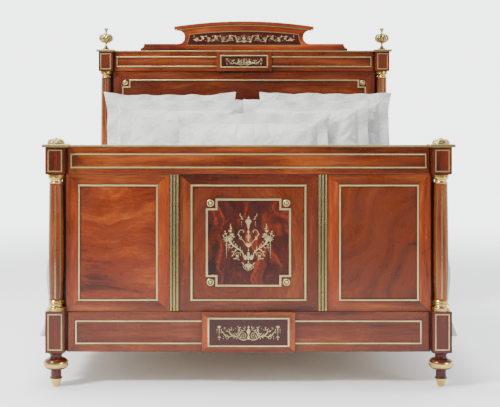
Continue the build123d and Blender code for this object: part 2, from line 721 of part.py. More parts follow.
# ------------------------------------------------------------------ rails and base
def make_side_rails():
    reach = HALF_ALONG - BLOCK / 2
    inner = HALF_ACROSS - SIDE_RAIL_THICKNESS / 2
    ledger_z = (RAIL_UNDERSIDE + LEDGER_LIFT, RAIL_UNDERSIDE + LEDGER_LIFT + LEDGER_HEIGHT)
    ledgers = []
    for side, name in ((-1, "left"), (1, "right")):
        x = sorted((side * inner, side * (inner + SIDE_RAIL_THICKNESS)))
        board = slab(x, (-reach, reach), (RAIL_UNDERSIDE, LOW_RAIL_TOP))
        board = fillet(board.edges().filter_by(Axis.Y), RAIL_EASING)
        parts[f"side_rail_{name}"] = board - [hook_plate(side, end) for end in (-1, 1)]
        strip = sorted((side * inner, side * (inner - LEDGER_WIDTH)))
        ledgers.append(slab(strip, (-reach + LEDGER_END_GAP, reach - LEDGER_END_GAP), ledger_z))
    parts["slat_ledgers"] = Compound(children=ledgers)
    half = inner - SLAT_END_GAP
    run = 2 * (reach - LEDGER_END_GAP) - SLAT_WIDTH
    slats = []
    for i in range(SLATS):
        y = -run / 2 + run * i / (SLATS - 1)
        slat_y = (y - SLAT_WIDTH / 2, y + SLAT_WIDTH / 2)
        slats.append(slab((-half, half), slat_y, (ledger_z[1], ledger_z[1] + SLAT_THICKNESS)))
    parts["slats"] = Compound(children=slats)
    return ledger_z[1] + SLAT_THICKNESS


# ------------------------------------------------------------------ bedding
def soft_block(x, y, z):
    block = slab(x, y, z)
    block = fillet(block.edges().filter_by(Axis.Z), SOFT_CORNER)
    ends = block.faces().sort_by(Axis.Z)
    return fillet(ends[0].edges() + ends[-1].edges(), SOFT_EDGE)


def cover_outline(rest):
    """Half section of the coverlet over one side of the mattress, doubled about X = 0."""
    top = rest + COVER_THICKNESS
    edge = MATTRESS_HALF
    rail_face = HALF_ACROSS + SIDE_RAIL_THICKNESS / 2 + COVER_RAIL_GAP
    thick = COVER_DROP_THICKNESS
    right = [
        (edge - 4, top),
        (edge + 50, rest - 34),
        (HALF_ACROSS + COVER_BULGE, rest - 80),
        (HALF_ACROSS + COVER_HANG, LOW_RAIL_TOP + 40),
        (HALF_ACROSS + COVER_FLARE, COVER_HEM_HEIGHT),
        (HALF_ACROSS + COVER_FLARE - thick, COVER_HEM_HEIGHT),
        (rail_face, LOW_RAIL_TOP + 30),
        (rail_face, rest - 100),
        (edge + 26, rest - 48),
        (edge + 4, rest),
    ]
    left = [(-x, z) for x, z in reversed(right)]
    return make_face(Polyline(*right, *left, close=True))


def pillow(size, base_y, x, rest):
    """A flanged pillow that stands on the coverlet and leans back."""
    wide, tall, thick = size
    core = Box(wide - 2 * FLANGE, thick, tall - 2 * FLANGE)
    core = fillet(core.edges(), thick * 0.4)
    shape = core + Box(wide, FLANGE_THICKNESS, tall)
    lean = math.radians(PILLOW_LEAN)
    lift = tall / 2 * math.cos(lean) + FLANGE_THICKNESS
    return Pos(x, base_y + tall / 2 * math.sin(lean), rest + lift) * Rot(X=-PILLOW_LEAN) * shape


def make_bedding(slat_top):
    y = (FACE[-1] + FRAME_THICKNESS + MATTRESS_FOOT_GAP, FACE[1] - MATTRESS_HEAD_GAP)
    base_x = FRAME_HALF - SPRING_BASE_GAP
    base_top = slat_top + SPRING_BASE_HEIGHT
    parts["sprung_base"] = soft_block((-base_x, base_x), y, (slat_top, base_top))
    low = base_top + REST_GAP
    parts["mattress"] = soft_block((-MATTRESS_HALF, MATTRESS_HALF), y, (low, low + MATTRESS_HEIGHT))
    rest = low + MATTRESS_HEIGHT + REST_GAP
    cover_end = HALF_ALONG - BLOCK / 2 - COVER_END_GAP
    cover = upright(cover_outline(rest), (-cover_end, cover_end))
    tuck_y = (y[0] - REST_GAP - COVER_TUCK_THICKNESS, y[0] - REST_GAP)
    tuck_half = MATTRESS_HALF - SOFT_CORNER
    top = rest + COVER_THICKNESS
    tuck = slab((-tuck_half, tuck_half), tuck_y, (rest - COVER_TUCK, top))
    bridge = slab((-tuck_half, tuck_half), (tuck_y[0], -cover_end), (rest, top))
    parts["coverlet"] = cover + tuck + bridge

    lean = math.radians(PILLOW_LEAN)
    stand = top + REST_GAP
    rear_reach = REAR_PILLOW[2] / 2 * math.cos(lean) + (REAR_PILLOW[1] - FLANGE) * math.sin(lean)
    rear_y = FACE[1] - PILLOW_BACK_GAP - rear_reach
    second_y = rear_y - ((REAR_PILLOW[2] + SECOND_PILLOW[2]) / 2 + PILLOW_GAP) / math.cos(lean)
    front_y = second_y - ((SECOND_PILLOW[2] + FRONT_PILLOW[2]) / 2 + PILLOW_GAP) / math.cos(lean)
    second_x = (SECOND_PILLOW[0] + SECOND_PILLOW_GAP) / 2
    parts["pillow_rear_left"] = pillow(REAR_PILLOW, rear_y, REAR_PILLOW_LEFT_X, stand)
    parts["pillow_rear_right"] = pillow(REAR_PILLOW, rear_y, REAR_PILLOW_RIGHT_X, stand)
    parts["pillow_second_left"] = pillow(SECOND_PILLOW, second_y, -second_x, stand)
    parts["pillow_second_right"] = pillow(SECOND_PILLOW, second_y, second_x, stand)
    parts["pillow_front"] = pillow(FRONT_PILLOW, front_y, FRONT_PILLOW_X, stand)


# ------------------------------------------------------------------ the whole bed
make_posts()
foot_bars, foot_stepped, foot_brass, foot_panel, foot_buttons = make_footboard()
head_bars, head_stepped, head_brass, head_panel, head_buttons = make_headboard()
parts["rail_mouldings"] = Compound(children=foot_bars + head_bars)
parts["stepped_mouldings"] = Compound(children=[foot_stepped, head_stepped])
parts["tablet_frames"] = Compound(children=[foot_brass, head_brass])
parts["corner_buttons"] = Compound(children=foot_buttons + head_buttons)
parts["capping_strips"] = Compound(children=[capping_strip(-1), capping_strip(1)])
parts["inlay_panels"] = Compound(children=[foot_panel, head_panel, make_crest()])
make_bedding(make_side_rails())

os.makedirs("parts", exist_ok=True)
for name, shape in parts.items():
    export_step(shape, f"parts/{name}.step")
print(len(parts), "nodes")
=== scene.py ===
import math

import bmesh
import bpy
import numpy as np
from mathutils import Matrix, Vector, noise


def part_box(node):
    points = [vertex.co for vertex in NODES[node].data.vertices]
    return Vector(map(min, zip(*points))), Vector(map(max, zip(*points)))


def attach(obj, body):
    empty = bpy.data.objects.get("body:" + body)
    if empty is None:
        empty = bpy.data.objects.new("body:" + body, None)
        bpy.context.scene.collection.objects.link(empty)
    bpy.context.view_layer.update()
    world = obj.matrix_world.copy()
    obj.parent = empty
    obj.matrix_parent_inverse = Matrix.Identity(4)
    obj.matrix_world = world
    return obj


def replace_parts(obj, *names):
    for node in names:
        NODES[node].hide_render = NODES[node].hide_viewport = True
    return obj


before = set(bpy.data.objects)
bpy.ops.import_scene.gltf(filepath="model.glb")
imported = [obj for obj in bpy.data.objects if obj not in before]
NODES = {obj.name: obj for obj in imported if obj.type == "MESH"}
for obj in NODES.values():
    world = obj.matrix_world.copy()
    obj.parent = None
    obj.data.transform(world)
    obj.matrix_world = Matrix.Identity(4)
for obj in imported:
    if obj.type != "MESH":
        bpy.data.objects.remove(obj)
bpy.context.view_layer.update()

BOARD_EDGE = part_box("footboard_bottom_rail")[1].x
POST_X, POST_Y = 0.775, 1.025


# ------------------------------------------------------------------ shader tools
class Value:
    """A shader output that takes part in plain arithmetic."""

    def __init__(self, nodes, socket):
        self.nodes = nodes
        self.socket = socket

    def _math(self, operation, other=None, swap=False):
        first, second = (other, self) if swap else (self, other)
        return self.nodes.node("ShaderNodeMath", {"operation": operation}, {0: first, 1: second})

    def __add__(self, other):
        return self._math("ADD", other)

    def __mul__(self, other):
        return self._math("MULTIPLY", other)

    __radd__ = __add__
    __rmul__ = __mul__

    def __sub__(self, other):
        return self._math("SUBTRACT", other)

    def __rsub__(self, other):
        return self._math("SUBTRACT", other, swap=True)

    def __pow__(self, other):
        return self._math("POWER", other)

    def size(self):
        return self._math("ABSOLUTE")

    def sine(self):
        return self._math("SINE")


class Nodes:
    """A node tree, to which each node is added by its type, its settings and what its sockets take."""

    def __init__(self, tree):
        self.tree = tree

    def put(self, socket, value):
        if isinstance(value, Value):
            self.tree.links.new(value.socket, socket)
        elif value is not None:
            if isinstance(value, tuple) and len(value) == 3 and len(socket.default_value) == 4:
                value = (*value, 1.0)
            socket.default_value = value

    def node(self, kind, settings=None, sockets=None, output=0):
        made = self.tree.nodes.new(kind)
        for key, value in (settings or {}).items():
            setattr(made, key, value)
        for key, value in (sockets or {}).items():
            self.put(made.inputs[key], value)
        return Value(self, made.outputs[output])

    def split(self, vector):
        parts = self.node("ShaderNodeSeparateXYZ", None, {0: vector})
        return [Value(self, out) for out in parts.socket.node.outputs]

    def ease(self, value, low, high, start=0.0, end=1.0):
        """Runs smoothly from start to end as the value goes from low to high."""
        sockets = {0: value, 1: low, 2: high, 3: start, 4: end}
        return self.node("ShaderNodeMapRange", {"interpolation_type": "SMOOTHSTEP"}, sockets)


class Paint(Nodes):
    """One material: a Principled shader and the nodes that feed it."""

    def __init__(self, name, **fixed):
        self.material = bpy.data.materials.new(name)
        self.material.use_nodes = True
        super().__init__(self.material.node_tree)
        self.shader = self.tree.nodes["Principled BSDF"]
        for key, value in fixed.items():
            self.feed(key.replace("_", " ").title().replace("Ior", "IOR"), value)

    def feed(self, name, value):
        self.put(self.shader.inputs[name], value)

    def vector(self, operation, first, second):
        return self.node("ShaderNodeVectorMath", {"operation": operation}, {0: first, 1: second})

    def place(self, shift=0.0):
        """Where a point is on the bed, shifted by a different amount for each board."""
        here = self.node("ShaderNodeTexCoord", output=3)
        if not shift:
            return here
        own = self.node("ShaderNodeObjectInfo", output="Random") * shift
        return self.vector("ADD", here, self.join(own, own, own))

    def join(self, x, y, z):
        return self.node("ShaderNodeCombineXYZ", None, {0: x, 1: y, 2: z})

    def noise(self, where, scale, detail=3.0, rough=0.5, twist=0.0, colour=False):
        sockets = {"Vector": where, "Scale": scale, "Detail": detail, "Roughness": rough, "Distortion": twist}
        return self.node("ShaderNodeTexNoise", None, sockets, 1 if colour else 0)

    def drifted(self, where, scale, amount):
        """The place, moved a little by a soft noise in all three directions."""
        off = self.noise(where, scale, 2.0, colour=True)
        centred = self.vector("SUBTRACT", off, (0.5, 0.5, 0.5))
        return self.vector("ADD", where, self.vector("MULTIPLY", centred, (amount, amount, amount)))

    def mix(self, factor, first, second):
        return self.node("ShaderNodeMix", {"data_type": "RGBA"}, {0: factor, 6: first, 7: second}, 2)

    def bump(self, height, strength, distance):
        sockets = {"Height": height, "Strength": strength, "Distance": distance}
        self.feed("Normal", self.node("ShaderNodeBump", None, sockets))


# ------------------------------------------------------------------ woods
GRAIN = {"X": (0.07, 1.0, 1.0), "Y": (1.0, 0.07, 1.0), "Z": (1.0, 1.0, 0.07)}
RED_BROWN = ((0.040, 0.0045, 0.0010), (0.150, 0.020, 0.0026), (0.34, 0.068, 0.0070))
RAIL_BROWN = ((0.032, 0.0040, 0.0010), (0.110, 0.0165, 0.0026), (0.25, 0.055, 0.0075))
BORDER_BROWN = ((0.026, 0.0032, 0.0010), (0.088, 0.0125, 0.0026), (0.20, 0.040, 0.0070))
BRIGHT_BROWN = ((0.055, 0.0065, 0.0010), (0.200, 0.027, 0.0026), (0.40, 0.080, 0.0070))
DEEP_BROWN = ((0.020, 0.0026, 0.0018), (0.066, 0.0080, 0.0030), (0.145, 0.022, 0.0050))
FLAME_BROWN = ((0.012, 0.0014, 0.0014), (0.050, 0.0055, 0.0020), (0.21, 0.026, 0.0040))
PURPLE_BROWN = ((0.014, 0.0022, 0.0018), (0.036, 0.0040, 0.0028), (0.066, 0.0078, 0.0040))
PINE_TONES = ((0.36, 0.20, 0.085), (0.56, 0.36, 0.17), (0.70, 0.50, 0.27))
# painted shade: the dark colour for the stiles' strip beyond the board's edge, standing for the shadow beside
# the columns
SHADED_LATH = (0.010, 0.004, 0.0025)
LATH_EDGE = BOARD_EDGE + 0.0002


def wood(name, grain, tones=RED_BROWN, swirl=0.02, centre=None, flame=False, rings=26.0, contrast=1.0,
         edge=None):
    """Polished figured veneer with its fibres along one axis.

    centre is the place of the figure's heart. Beyond edge, measured across the bed, the wood is painted dark:
    painted shade for the shadowed gap beside the columns.
    """
    dark, middle, light = tones
    paint = Paint(name, roughness=0.3, coat_weight=0.25, coat_roughness=0.08, specular_ior_level=0.25)
    here = paint.place(0 if centre else 7.0)
    x, y, z = paint.split(here)
    if flame:
        away = (x - centre[0]).size()
        lift = z - centre[1] + away * 0.9
        wander = paint.noise(here, 5.0, 2.0) - 0.5
        bent = paint.join((x - centre[0]) * 5.0 + wander * 1.6, y, lift * 1.7 + wander * 1.1)
        broad = paint.noise(bent, 3.4, 5.0, 0.62, 1.2)
        fibres = paint.noise(paint.join(x * 60.0 + lift * 30.0, y, lift * 26.0), 3.0, 4.0)
    elif centre:
        bent = paint.drifted(here, 2.2, swirl)
        bx, by, bz = paint.split(bent)
        ring = ((bx - centre[0]) * (bx - centre[0]) * 1.4 + (bz - centre[1]) * (bz - centre[1])) ** 0.5
        broad = paint.noise(paint.join(ring * rings, by, ring * 3.0 + bx * 2.0), 1.0, 3.0, 0.55, 0.4)
        fibres = paint.noise(paint.vector("MULTIPLY", bent, GRAIN[grain]), 230.0, 4.0)
    else:
        bent = paint.vector("MULTIPLY", paint.drifted(here, 3.0, swirl), GRAIN[grain])
        broad = paint.noise(bent, 22.0, 3.0, 0.6, 0.3)
        fibres = paint.noise(bent, 260.0, 4.0)
    cloud = paint.noise(here, 2.6, 2.0)
    tone = (broad - 0.5) * (1.5 * contrast) + (fibres - 0.5) * 0.55 + (cloud - 0.5) * 0.7 + 0.5
    lower = paint.mix(paint.ease(tone, 0.1, 0.52), dark, middle)
    colour = paint.mix(paint.ease(tone, 0.48, 0.95), lower, light)
    pores = paint.noise(paint.vector("MULTIPLY", here, GRAIN[grain]), 900.0, 2.0)
    pore_dark = paint.ease(pores, 0.60, 0.72)
    colour = paint.mix(pore_dark * 0.35, colour, dark)
    if edge:
        # painted shade: beyond edge the stile is darkened to stand for the shadow in the gap beside the
        # column
        painted_lath_shade = paint.ease(paint.split(paint.place())[0].size(), edge, edge + 0.0012)
        colour = paint.mix(painted_lath_shade * 0.9, colour, SHADED_LATH)
    paint.feed("Base Color", colour)
    wear = paint.noise(here, 9.0, 3.0)
    paint.feed("Roughness", paint.ease(wear, 0.3, 0.75, 0.24, 0.40))
    paint.bump(fibres - pore_dark * 0.5, 0.05, 0.0006)
    return paint.material


def brass(name, bright, dull, rough=(0.16, 0.34), speck=1.0, edges=None, rise=None):
    """Old polished brass, tarnished in soft clouds.

    edges is the colour of a moulding's sides, the faces that turn away from the front: painted shade, with
    some tarnish.
    rise is the two heights between which the dull colour gives way to the polished one: painted shade low
    down, painted highlight higher up.
    """
    paint = Paint(name, metallic=1.0)
    here = paint.place()
    cloud = paint.noise(here, 7.0, 4.0, 0.6)
    fine = paint.noise(here, 120.0, 3.0, 0.6)
    age = paint.ease(cloud * 0.95 + fine * 0.05, 0.36, 0.68)
    spots = paint.ease(paint.noise(here, 420.0, 2.0), 0.70, 0.80) * (0.22 * speck)
    colour = paint.mix(spots, paint.mix(age, bright, dull), (0.16, 0.10, 0.04))
    if rise:
        x, y, z = paint.split(here)
        # painted light: the dull colour low down and the bright colour higher up stand for shade below and
        # highlight above
        colour = paint.mix(paint.ease(z, *rise), dull, colour)
    if edges:
        nx, ny, nz = paint.split(paint.node("ShaderNodeNewGeometry", output="Normal"))
        # painted shade with some tarnish: faces turned away from the front take the darker edges colour
        colour = paint.mix(paint.ease(ny.size(), 0.55, 0.97), edges, colour)
    paint.feed("Base Color", colour)
    paint.feed("Roughness", paint.ease(age + spots, 0.0, 1.2, *rough))
    paint.bump(paint.noise(here, 700.0, 2.0), 0.05, 0.00006)
    return paint.material


STRIPE_PITCH = 0.045


def cloth(name, base, shade, thread=0.0009, rough=0.85, stripe=None, fold=0.0, underside_shade=None):
    """Woven cloth: two crossed sets of threads, soft creases and a little unevenness.

    fold adds pressed-in creases, with painted shade along their ridges; with fold, hollow is the painted
    shade colour for the faces that turn down and towards +X.
    """
    paint = Paint(name, roughness=rough, sheen_weight=0.25, sheen_roughness=0.5)
    here = paint.place()
    x, y, z = paint.split(here)
    turn = 2 * math.pi / thread
    warp = (x * turn).sine()
    weft = ((y + z) * turn).sine()
    slub = paint.noise(paint.vector("MULTIPLY", here, (1.0, 9.0, 9.0)), 60.0, 3.0)
    cloud = paint.noise(here, 6.0, 4.0)
    tone = (slub - 0.5) * 0.8 + (cloud - 0.5) * 0.9 + 0.5
    colour = paint.mix(paint.ease(tone, 0.1, 0.9), shade, base)
    if stripe:
        band = paint.ease((x * (2 * math.pi / STRIPE_PITCH)).sine(), 0.80, 0.9)
        colour = paint.mix(band * 0.8, colour, stripe)
    crease = paint.noise(here, 38.0, 5.0, 0.6, 0.8)
    height = (warp + weft) * 0.1 + slub * 0.5 + crease * 1.6
    if fold:
        nx, ny, nz = paint.split(paint.node("ShaderNodeNewGeometry", output="Normal"))
        # painted shade: faces turned down and towards +X take the darker colour, as if out of the light
        facing = nz - nx * 0.55
        colour = paint.mix(paint.ease(facing, -0.20, 0.80), underside_shade, colour)
        lean = paint.join(x * 0.8 + z * 0.6, y, z * 0.9 - x * 0.4)
        sharp = 1.0 - (paint.noise(lean, 9.0, 3.0, 0.55, 1.1) - 0.5).size() * 7.0
        fine = 1.0 - (paint.noise(here, 21.0, 3.0, 0.5, 0.9) - 0.5).size() * 8.0
        ridge = paint.ease(sharp, 0.0, 1.0)
        crumple = paint.ease(fine, 0.1, 1.0)
        height = height + ridge * (fold * 3.0) + crumple * (fold * 0.6)
        # painted shade along the crease ridges
        colour = paint.mix(ridge * (0.16 * fold), colour, shade)
    paint.feed("Base Color", colour)
    paint.bump(height, 0.22 + 0.45 * fold, 0.0012 + 0.0012 * fold)
    return paint.material


WOOD = {
    "up": wood("mahogany_up", "Z"),
    "stile": wood("mahogany_stiles", "Z", tones=RAIL_BROWN, edge=LATH_EDGE),
    "across": wood("mahogany_across", "X", tones=RAIL_BROWN),
    "bright": wood("mahogany_bright", "Z", tones=BRIGHT_BROWN),
    "border": wood("mahogany_border", "Z", tones=BORDER_BROWN),
    "border_across": wood("mahogany_border_across", "X", tones=BORDER_BROWN),
    "crest": wood("mahogany_crest", "X"),
    "along": wood("mahogany_along", "Y"),
    "left": wood("mahogany_panel_left", "X", swirl=0.16, contrast=0.9),
    "right": wood("mahogany_panel_right", "Z", tones=RAIL_BROWN, swirl=0.50, centre=(0.80, 0.34),
                  rings=20.0, contrast=0.55),
    "middle": wood("mahogany_panel_middle", "Z", tones=RAIL_BROWN, swirl=0.26, centre=(-0.06, 0.52),
                   rings=30.0, contrast=0.6),
    "head": wood("mahogany_panel_head", "X", tones=BORDER_BROWN, swirl=0.10, contrast=0.9),
    "block": wood("mahogany_blocks", "Z", tones=DEEP_BROWN, contrast=0.8),
    "block_top": wood("mahogany_top_blocks", "Z", tones=BORDER_BROWN, contrast=0.8),
    "flame": wood("mahogany_flame", "Z", tones=FLAME_BROWN, centre=(0.0, 0.40), flame=True, contrast=1.3),
    "ground": wood("dark_ground", "X", tones=PURPLE_BROWN, contrast=0.5),
}
# the edges colour is painted shade, with some tarnish, on the mouldings' sides
BRASS = brass("brass", (0.66, 0.54, 0.27), (0.48, 0.38, 0.17), (0.28, 0.42), 0.3,
              edges=(0.17, 0.125, 0.055))
BRASS_CAPS = brass("brass_caps", (0.44, 0.34, 0.14), (0.30, 0.225, 0.09), (0.32, 0.44), 0.2)
BRASS_STRINGS = brass("brass_strings", (0.52, 0.40, 0.19), (0.38, 0.29, 0.13), (0.34, 0.48), 0.3)
# reeds and flute strips: tarnish clouds, with painted shade on their sides and low down and a painted
# highlight higher up
BRASS_TARNISH_AND_SHADE = brass("brass_reeds", (0.62, 0.49, 0.25), (0.27, 0.21, 0.09), (0.20, 0.34), 0.2,
                  edges=(0.10, 0.075, 0.03), rise=(0.50, 0.83))
BRASS_GOLD = brass("brass_cast", (0.66, 0.46, 0.15), (0.42, 0.28, 0.08), (0.18, 0.32), 0.5)
BRASS_DARK = brass("brass_finials", (0.42, 0.32, 0.12), (0.17, 0.125, 0.045), (0.22, 0.40), 0.6)
BRASS_INLAY = brass("brass_inlay", (0.60, 0.53, 0.27), (0.42, 0.36, 0.17), (0.32, 0.46), 0.4)


def plain_steel():
    paint = Paint("steel", metallic=1.0)
    here = paint.place()
    streak = paint.noise(paint.vector("MULTIPLY", here, (1.0, 1.0, 0.1)), 300.0, 3.0)
    paint.feed("Base Color", paint.mix(streak, (0.30, 0.29, 0.28), (0.50, 0.49, 0.48)))
    paint.feed("Roughness", paint.ease(streak, 0.2, 0.8, 0.3, 0.5))
    return paint.material


STEEL = plain_steel()
PINE = wood("pine", "X", tones=PINE_TONES, contrast=0.6)
PINE_ALONG = wood("pine_along", "Y", tones=PINE_TONES, contrast=0.6)
TICKING = cloth("ticking", (0.74, 0.72, 0.66), (0.62, 0.60, 0.54), 0.0012, stripe=(0.25, 0.30, 0.38))
PIPING = cloth("piping", (0.60, 0.58, 0.52), (0.48, 0.46, 0.41), 0.0010)
COVERLET = cloth("coverlet_linen", (0.55, 0.585, 0.545), (0.44, 0.47, 0.435), 0.0014)
LINEN = cloth("pillow_linen", (0.86, 0.855, 0.835), (0.60, 0.595, 0.575), 0.0009, fold=1.0,
              underside_shade=(0.40, 0.40, 0.395))
# painted shade: the seam thread is much darker than the linen, standing for the shadow line along the seam
SEAM_SHADE_THREAD = cloth("seam_thread_and_shade", (0.50, 0.495, 0.475), (0.38, 0.375, 0.36), 0.0009)


# ------------------------------------------------------------------ mesh tools
def finish_piece(name, bm, material, body="bedstead", smooth=True):
    """Makes a shown piece from a bmesh and lets it ride on a body."""
    mesh = bpy.data.meshes.new(name)
    for face in bm.faces:
        face.smooth = smooth
    bm.to_mesh(mesh)
    bm.free()
    piece = bpy.data.objects.new(name, mesh)
    mesh.materials.append(material)
    bpy.context.scene.collection.objects.link(piece)
    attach(piece, body)
    return piece


def face_front(bm):
    """Turns every face's front towards the show side, -Y."""
    bm.normal_update()
    turned = [face for face in bm.faces if face.normal.y > 0]
    bmesh.ops.reverse_faces(bm, faces=turned)


def veneer(bm, corners, front, thick=0.0004):
    """A thin leaf of veneer: its corners in X and Z, its face at front, with square edges."""
    ahead = [bm.verts.new((x, front, z)) for x, z in corners]
    behind = [bm.verts.new((x, front + thick, z)) for x, z in corners]
    bm.faces.new(ahead)
    for i in range(len(corners)):
        j = (i + 1) % len(corners)
        bm.faces.new((ahead[i], behind[i], behind[j], ahead[j]))


def face_front_edges(bm):
    """Turns a veneer's faces outwards, and those on its show side towards -Y."""
    bmesh.ops.recalc_face_normals(bm, faces=bm.faces)
    bm.normal_update()
    turned = [f for f in bm.faces if abs(f.normal.y) > 0.9 and f.normal.y > 0]
    bmesh.ops.reverse_faces(bm, faces=turned)


def mitred_border(outer, inner, front, upright, across):
    """Border veneers round an opening, mitred at the corners; each rectangle is (x0, x1, z0, z1)."""
    ox0, ox1, oz0, oz1 = outer
    ix0, ix1, iz0, iz1 = inner
    gap = 0.0003
    veneer(upright, [(ox0, oz0), (ix0 - gap, iz0), (ix0 - gap, iz1), (ox0, oz1)], front)
    veneer(upright, [(ox1, oz0), (ix1 + gap, iz0), (ix1 + gap, iz1), (ox1, oz1)], front)
    veneer(across, [(ox0, oz0 - gap), (ox1, oz0 - gap), (ix1, iz0 - gap), (ix0, iz0 - gap)], front)
    veneer(across, [(ox0, oz1 + gap), (ox1, oz1 + gap), (ix1, iz1 + gap), (ix0, iz1 + gap)], front)


def through(points, steps=7):
    """A smooth line through points of any size, Catmull-Rom."""
    rows = [np.array(p, float) for p in points]
    rows = [2 * rows[0] - rows[1], *rows, 2 * rows[-1] - rows[-2]]
    line = []
    for i in range(1, len(rows) - 2):
        a, b, c, d = rows[i - 1:i + 3]
        for k in range(steps):
            t = k / steps
            bend = (2 * a - 5 * b + 4 * c - d) * t * t + (3 * b - a - 3 * c + d) * t ** 3
            line.append(0.5 * (2 * b + (c - a) * t + bend))
    line.append(rows[-2])
    return line


class Inlay:
    """Cut brass let into a board, drawn in millimetres about a point. Pairs are drawn on both sides."""

    def __init__(self, x, z, weight=0.68):
        self.centre = (x, z)
        self.weight = weight
        self.strokes = []

    def strip(self, points, pair=True):
        """A strip through points (x, z, width)."""
        line = through(points)
        self.strokes.append(line)
        if pair:
            self.strokes.append([np.array((-p[0], p[1], p[2])) for p in line])

    def leaf(self, x, z, angle, length, width, bend=0.0, pair=True):
        """A pointed leaf from (x, z); angle in degrees from straight up, to the right."""
        points = []
        at = np.array((x, z), float)
        for t, share in ((0, 0.25), (0.3, 1.0), (0.6, 0.8), (0.85, 0.35), (1.0, 0.05)):
            turn = math.radians(angle + bend * t)
            way = np.array((math.sin(turn), math.cos(turn)))
            points.append((*(at + way * length * t), width * share))
        self.strip(points, pair)

    def bead(self, x, z, radius, pair=True):
        self.strip([(x, z + radius, 0.2), (x, z + radius * 0.7, radius * 1.45), (x, z, radius * 2),
                    (x, z - radius * 0.7, radius * 1.45), (x, z - radius, 0.2)], pair)

    def spiral(self, x, z, radius, start, turns, width, pair=True):
        """A volute that winds in to its eye; negative turns wind the other way."""
        points = []
        count = max(6, int(abs(turns) * 9))
        for i in range(count + 1):
            t = i / count
            angle = math.radians(start) + 2 * math.pi * turns * t
            reach = radius * (1 - 0.82 * t)
            taper = width * (1 - 0.45 * t)
            points.append((x + reach * math.cos(angle), z + reach * math.sin(angle), taper))
        self.strip(points, pair)
        self.bead(x, z, width * 0.62, pair)

    def drop(self, x, z, length, count, size, pair=True):
        """Beads hanging on a line, smaller towards the end."""
        for i in range(count):
            t = i / max(1, count - 1)
            self.bead(x, z - length * t, size * (1 - 0.5 * t), pair)

    def piece(self, name, ground, rise=0.0006):
        bm = bmesh.new()
        for line in self.strokes:
            rows = []
            for i, p in enumerate(line):
                way = line[min(i + 1, len(line) - 1)][:2] - line[max(i - 1, 0)][:2]
                size = np.hypot(*way) or 1.0
                side = np.array((-way[1], way[0])) / size * p[2] * self.weight / 2
                x, z = self.centre[0] + p[0] / 1000, self.centre[1] + p[1] / 1000
                dx, dz = side / 1000
                rows.append([bm.verts.new((x + dx, ground + 0.0001, z + dz)),
                             bm.verts.new((x, ground - rise, z)),
                             bm.verts.new((x - dx, ground + 0.0001, z - dz))])
            for a, b in zip(rows, rows[1:]):
                for k in (0, 1):
                    bm.faces.new((a[k], b[k], b[k + 1], a[k + 1]))
        face_front(bm)
        return finish_piece(name, bm, BRASS_INLAY)


def lobed(bm, profile, lobes, place, count=96, sharp=0.6, phase=0.0):
    """A turning whose surface is gathered into lobes; profile rows are (radius, height, lobe depth)."""
    rows = []
    for radius, height, depth in through(profile, 5):
        row = []
        for i in range(count):
            angle = 2 * math.pi * i / count
            ridge = abs(math.cos((angle + phase) * lobes / 2)) ** sharp
            reach = max(0.0002, radius - depth * (1 - ridge))
            spot = Vector((reach * math.cos(angle), reach * math.sin(angle), height))
            row.append(bm.verts.new(place @ spot))
        rows.append(row)
    for low, high in zip(rows, rows[1:]):
        for i in range(count):
            j = (i + 1) % count
            bm.faces.new((low[i], low[j], high[j], high[i]))
    bm.faces.new(list(reversed(rows[0])))
    bm.faces.new(rows[-1])


def curled_leaf(bm, place, line, width, curl=0.35, veins=3):
    """A cast leaf along a line of (out, up) points, cupped across, with a mid rib and scalloped sides."""
    path = through(line, 4)
    rows = []
    last = len(path) - 1
    for i, (out, up) in enumerate(path):
        t = i / last
        half = width / 2 * (math.sin(math.pi * min(1.0, 0.18 + 0.82 * t)) ** 0.7)
        half *= 1 + 0.16 * math.cos(t * math.pi * 2 * veins)
        row = []
        for k in range(-3, 4):
            share = k / 3
            cup = -curl * half * share * share + (0.0006 if k == 0 else 0)
            row.append(bm.verts.new(place @ Vector((out + cup, share * half, up + cup * 0.3))))
        rows.append(row)
    for a, b in zip(rows, rows[1:]):
        for k in range(6):
            bm.faces.new((a[k], a[k + 1], b[k + 1], b[k]))


# ------------------------------------------------------------------ finishes on the joined parts
def assign(names, material):
    for name in names:
        slots = NODES[name].data.materials
        if not slots:
            slots.append(material)
        for i in range(len(slots)):
            slots[i] = material


POSTS = ("foot_left", "foot_right", "head_left", "head_right")
assign([f"column_{p}" for p in POSTS], WOOD["up"])
assign([f"post_base_{p}" for p in POSTS], WOOD["block"])
assign([f"top_block_{p}" for p in POSTS], WOOD["block_top"])
assign(["footboard_top_rail", "footboard_bottom_rail", "headboard_bottom_rail", "footboard_tablet"],
       WOOD["across"])
assign(["headboard_top_rail", "headboard_tablet"], WOOD["border_across"])
assign(["crest_board", "crest_cornice"], WOOD["crest"])
assign(["footboard_stile_left", "footboard_stile_right", "headboard_stiles"], WOOD["stile"])
assign(["footboard_muntin_left", "footboard_muntin_right"], WOOD["up"])
assign(["side_rail_left", "side_rail_right"], WOOD["along"])
assign(["footboard_panel_left"], WOOD["left"])
assign(["footboard_panel_centre"], WOOD["middle"])
assign(["footboard_panel_right"], WOOD["right"])
assign(["headboard_panel"], WOOD["head"])
assign(["inlay_panels"], WOOD["ground"])
assign(["panel_mouldings", "stepped_mouldings", "rail_mouldings", "tablet_frames", "corner_buttons"], BRASS)
assign(["capping_strips", "cap_plates", "crest_stringing"], BRASS_CAPS)
assign(["block_stringing"], BRASS_STRINGS)
assign(["pilasters", "flute_strips"], BRASS_TARNISH_AND_SHADE)
assign(["column_bases", "column_capitals", "foot_bands", "foot_tips"], BRASS_GOLD)
assign(["rail_hook_plates"], STEEL)
assign(["slats"], PINE)
assign(["slat_ledgers"], PINE_ALONG)


# ------------------------------------------------------------------ veneers on the boards
VENEER_PROUD = 0.0003
SHADOW_GAP = 0.0004
STILE_VENEER = 0.046


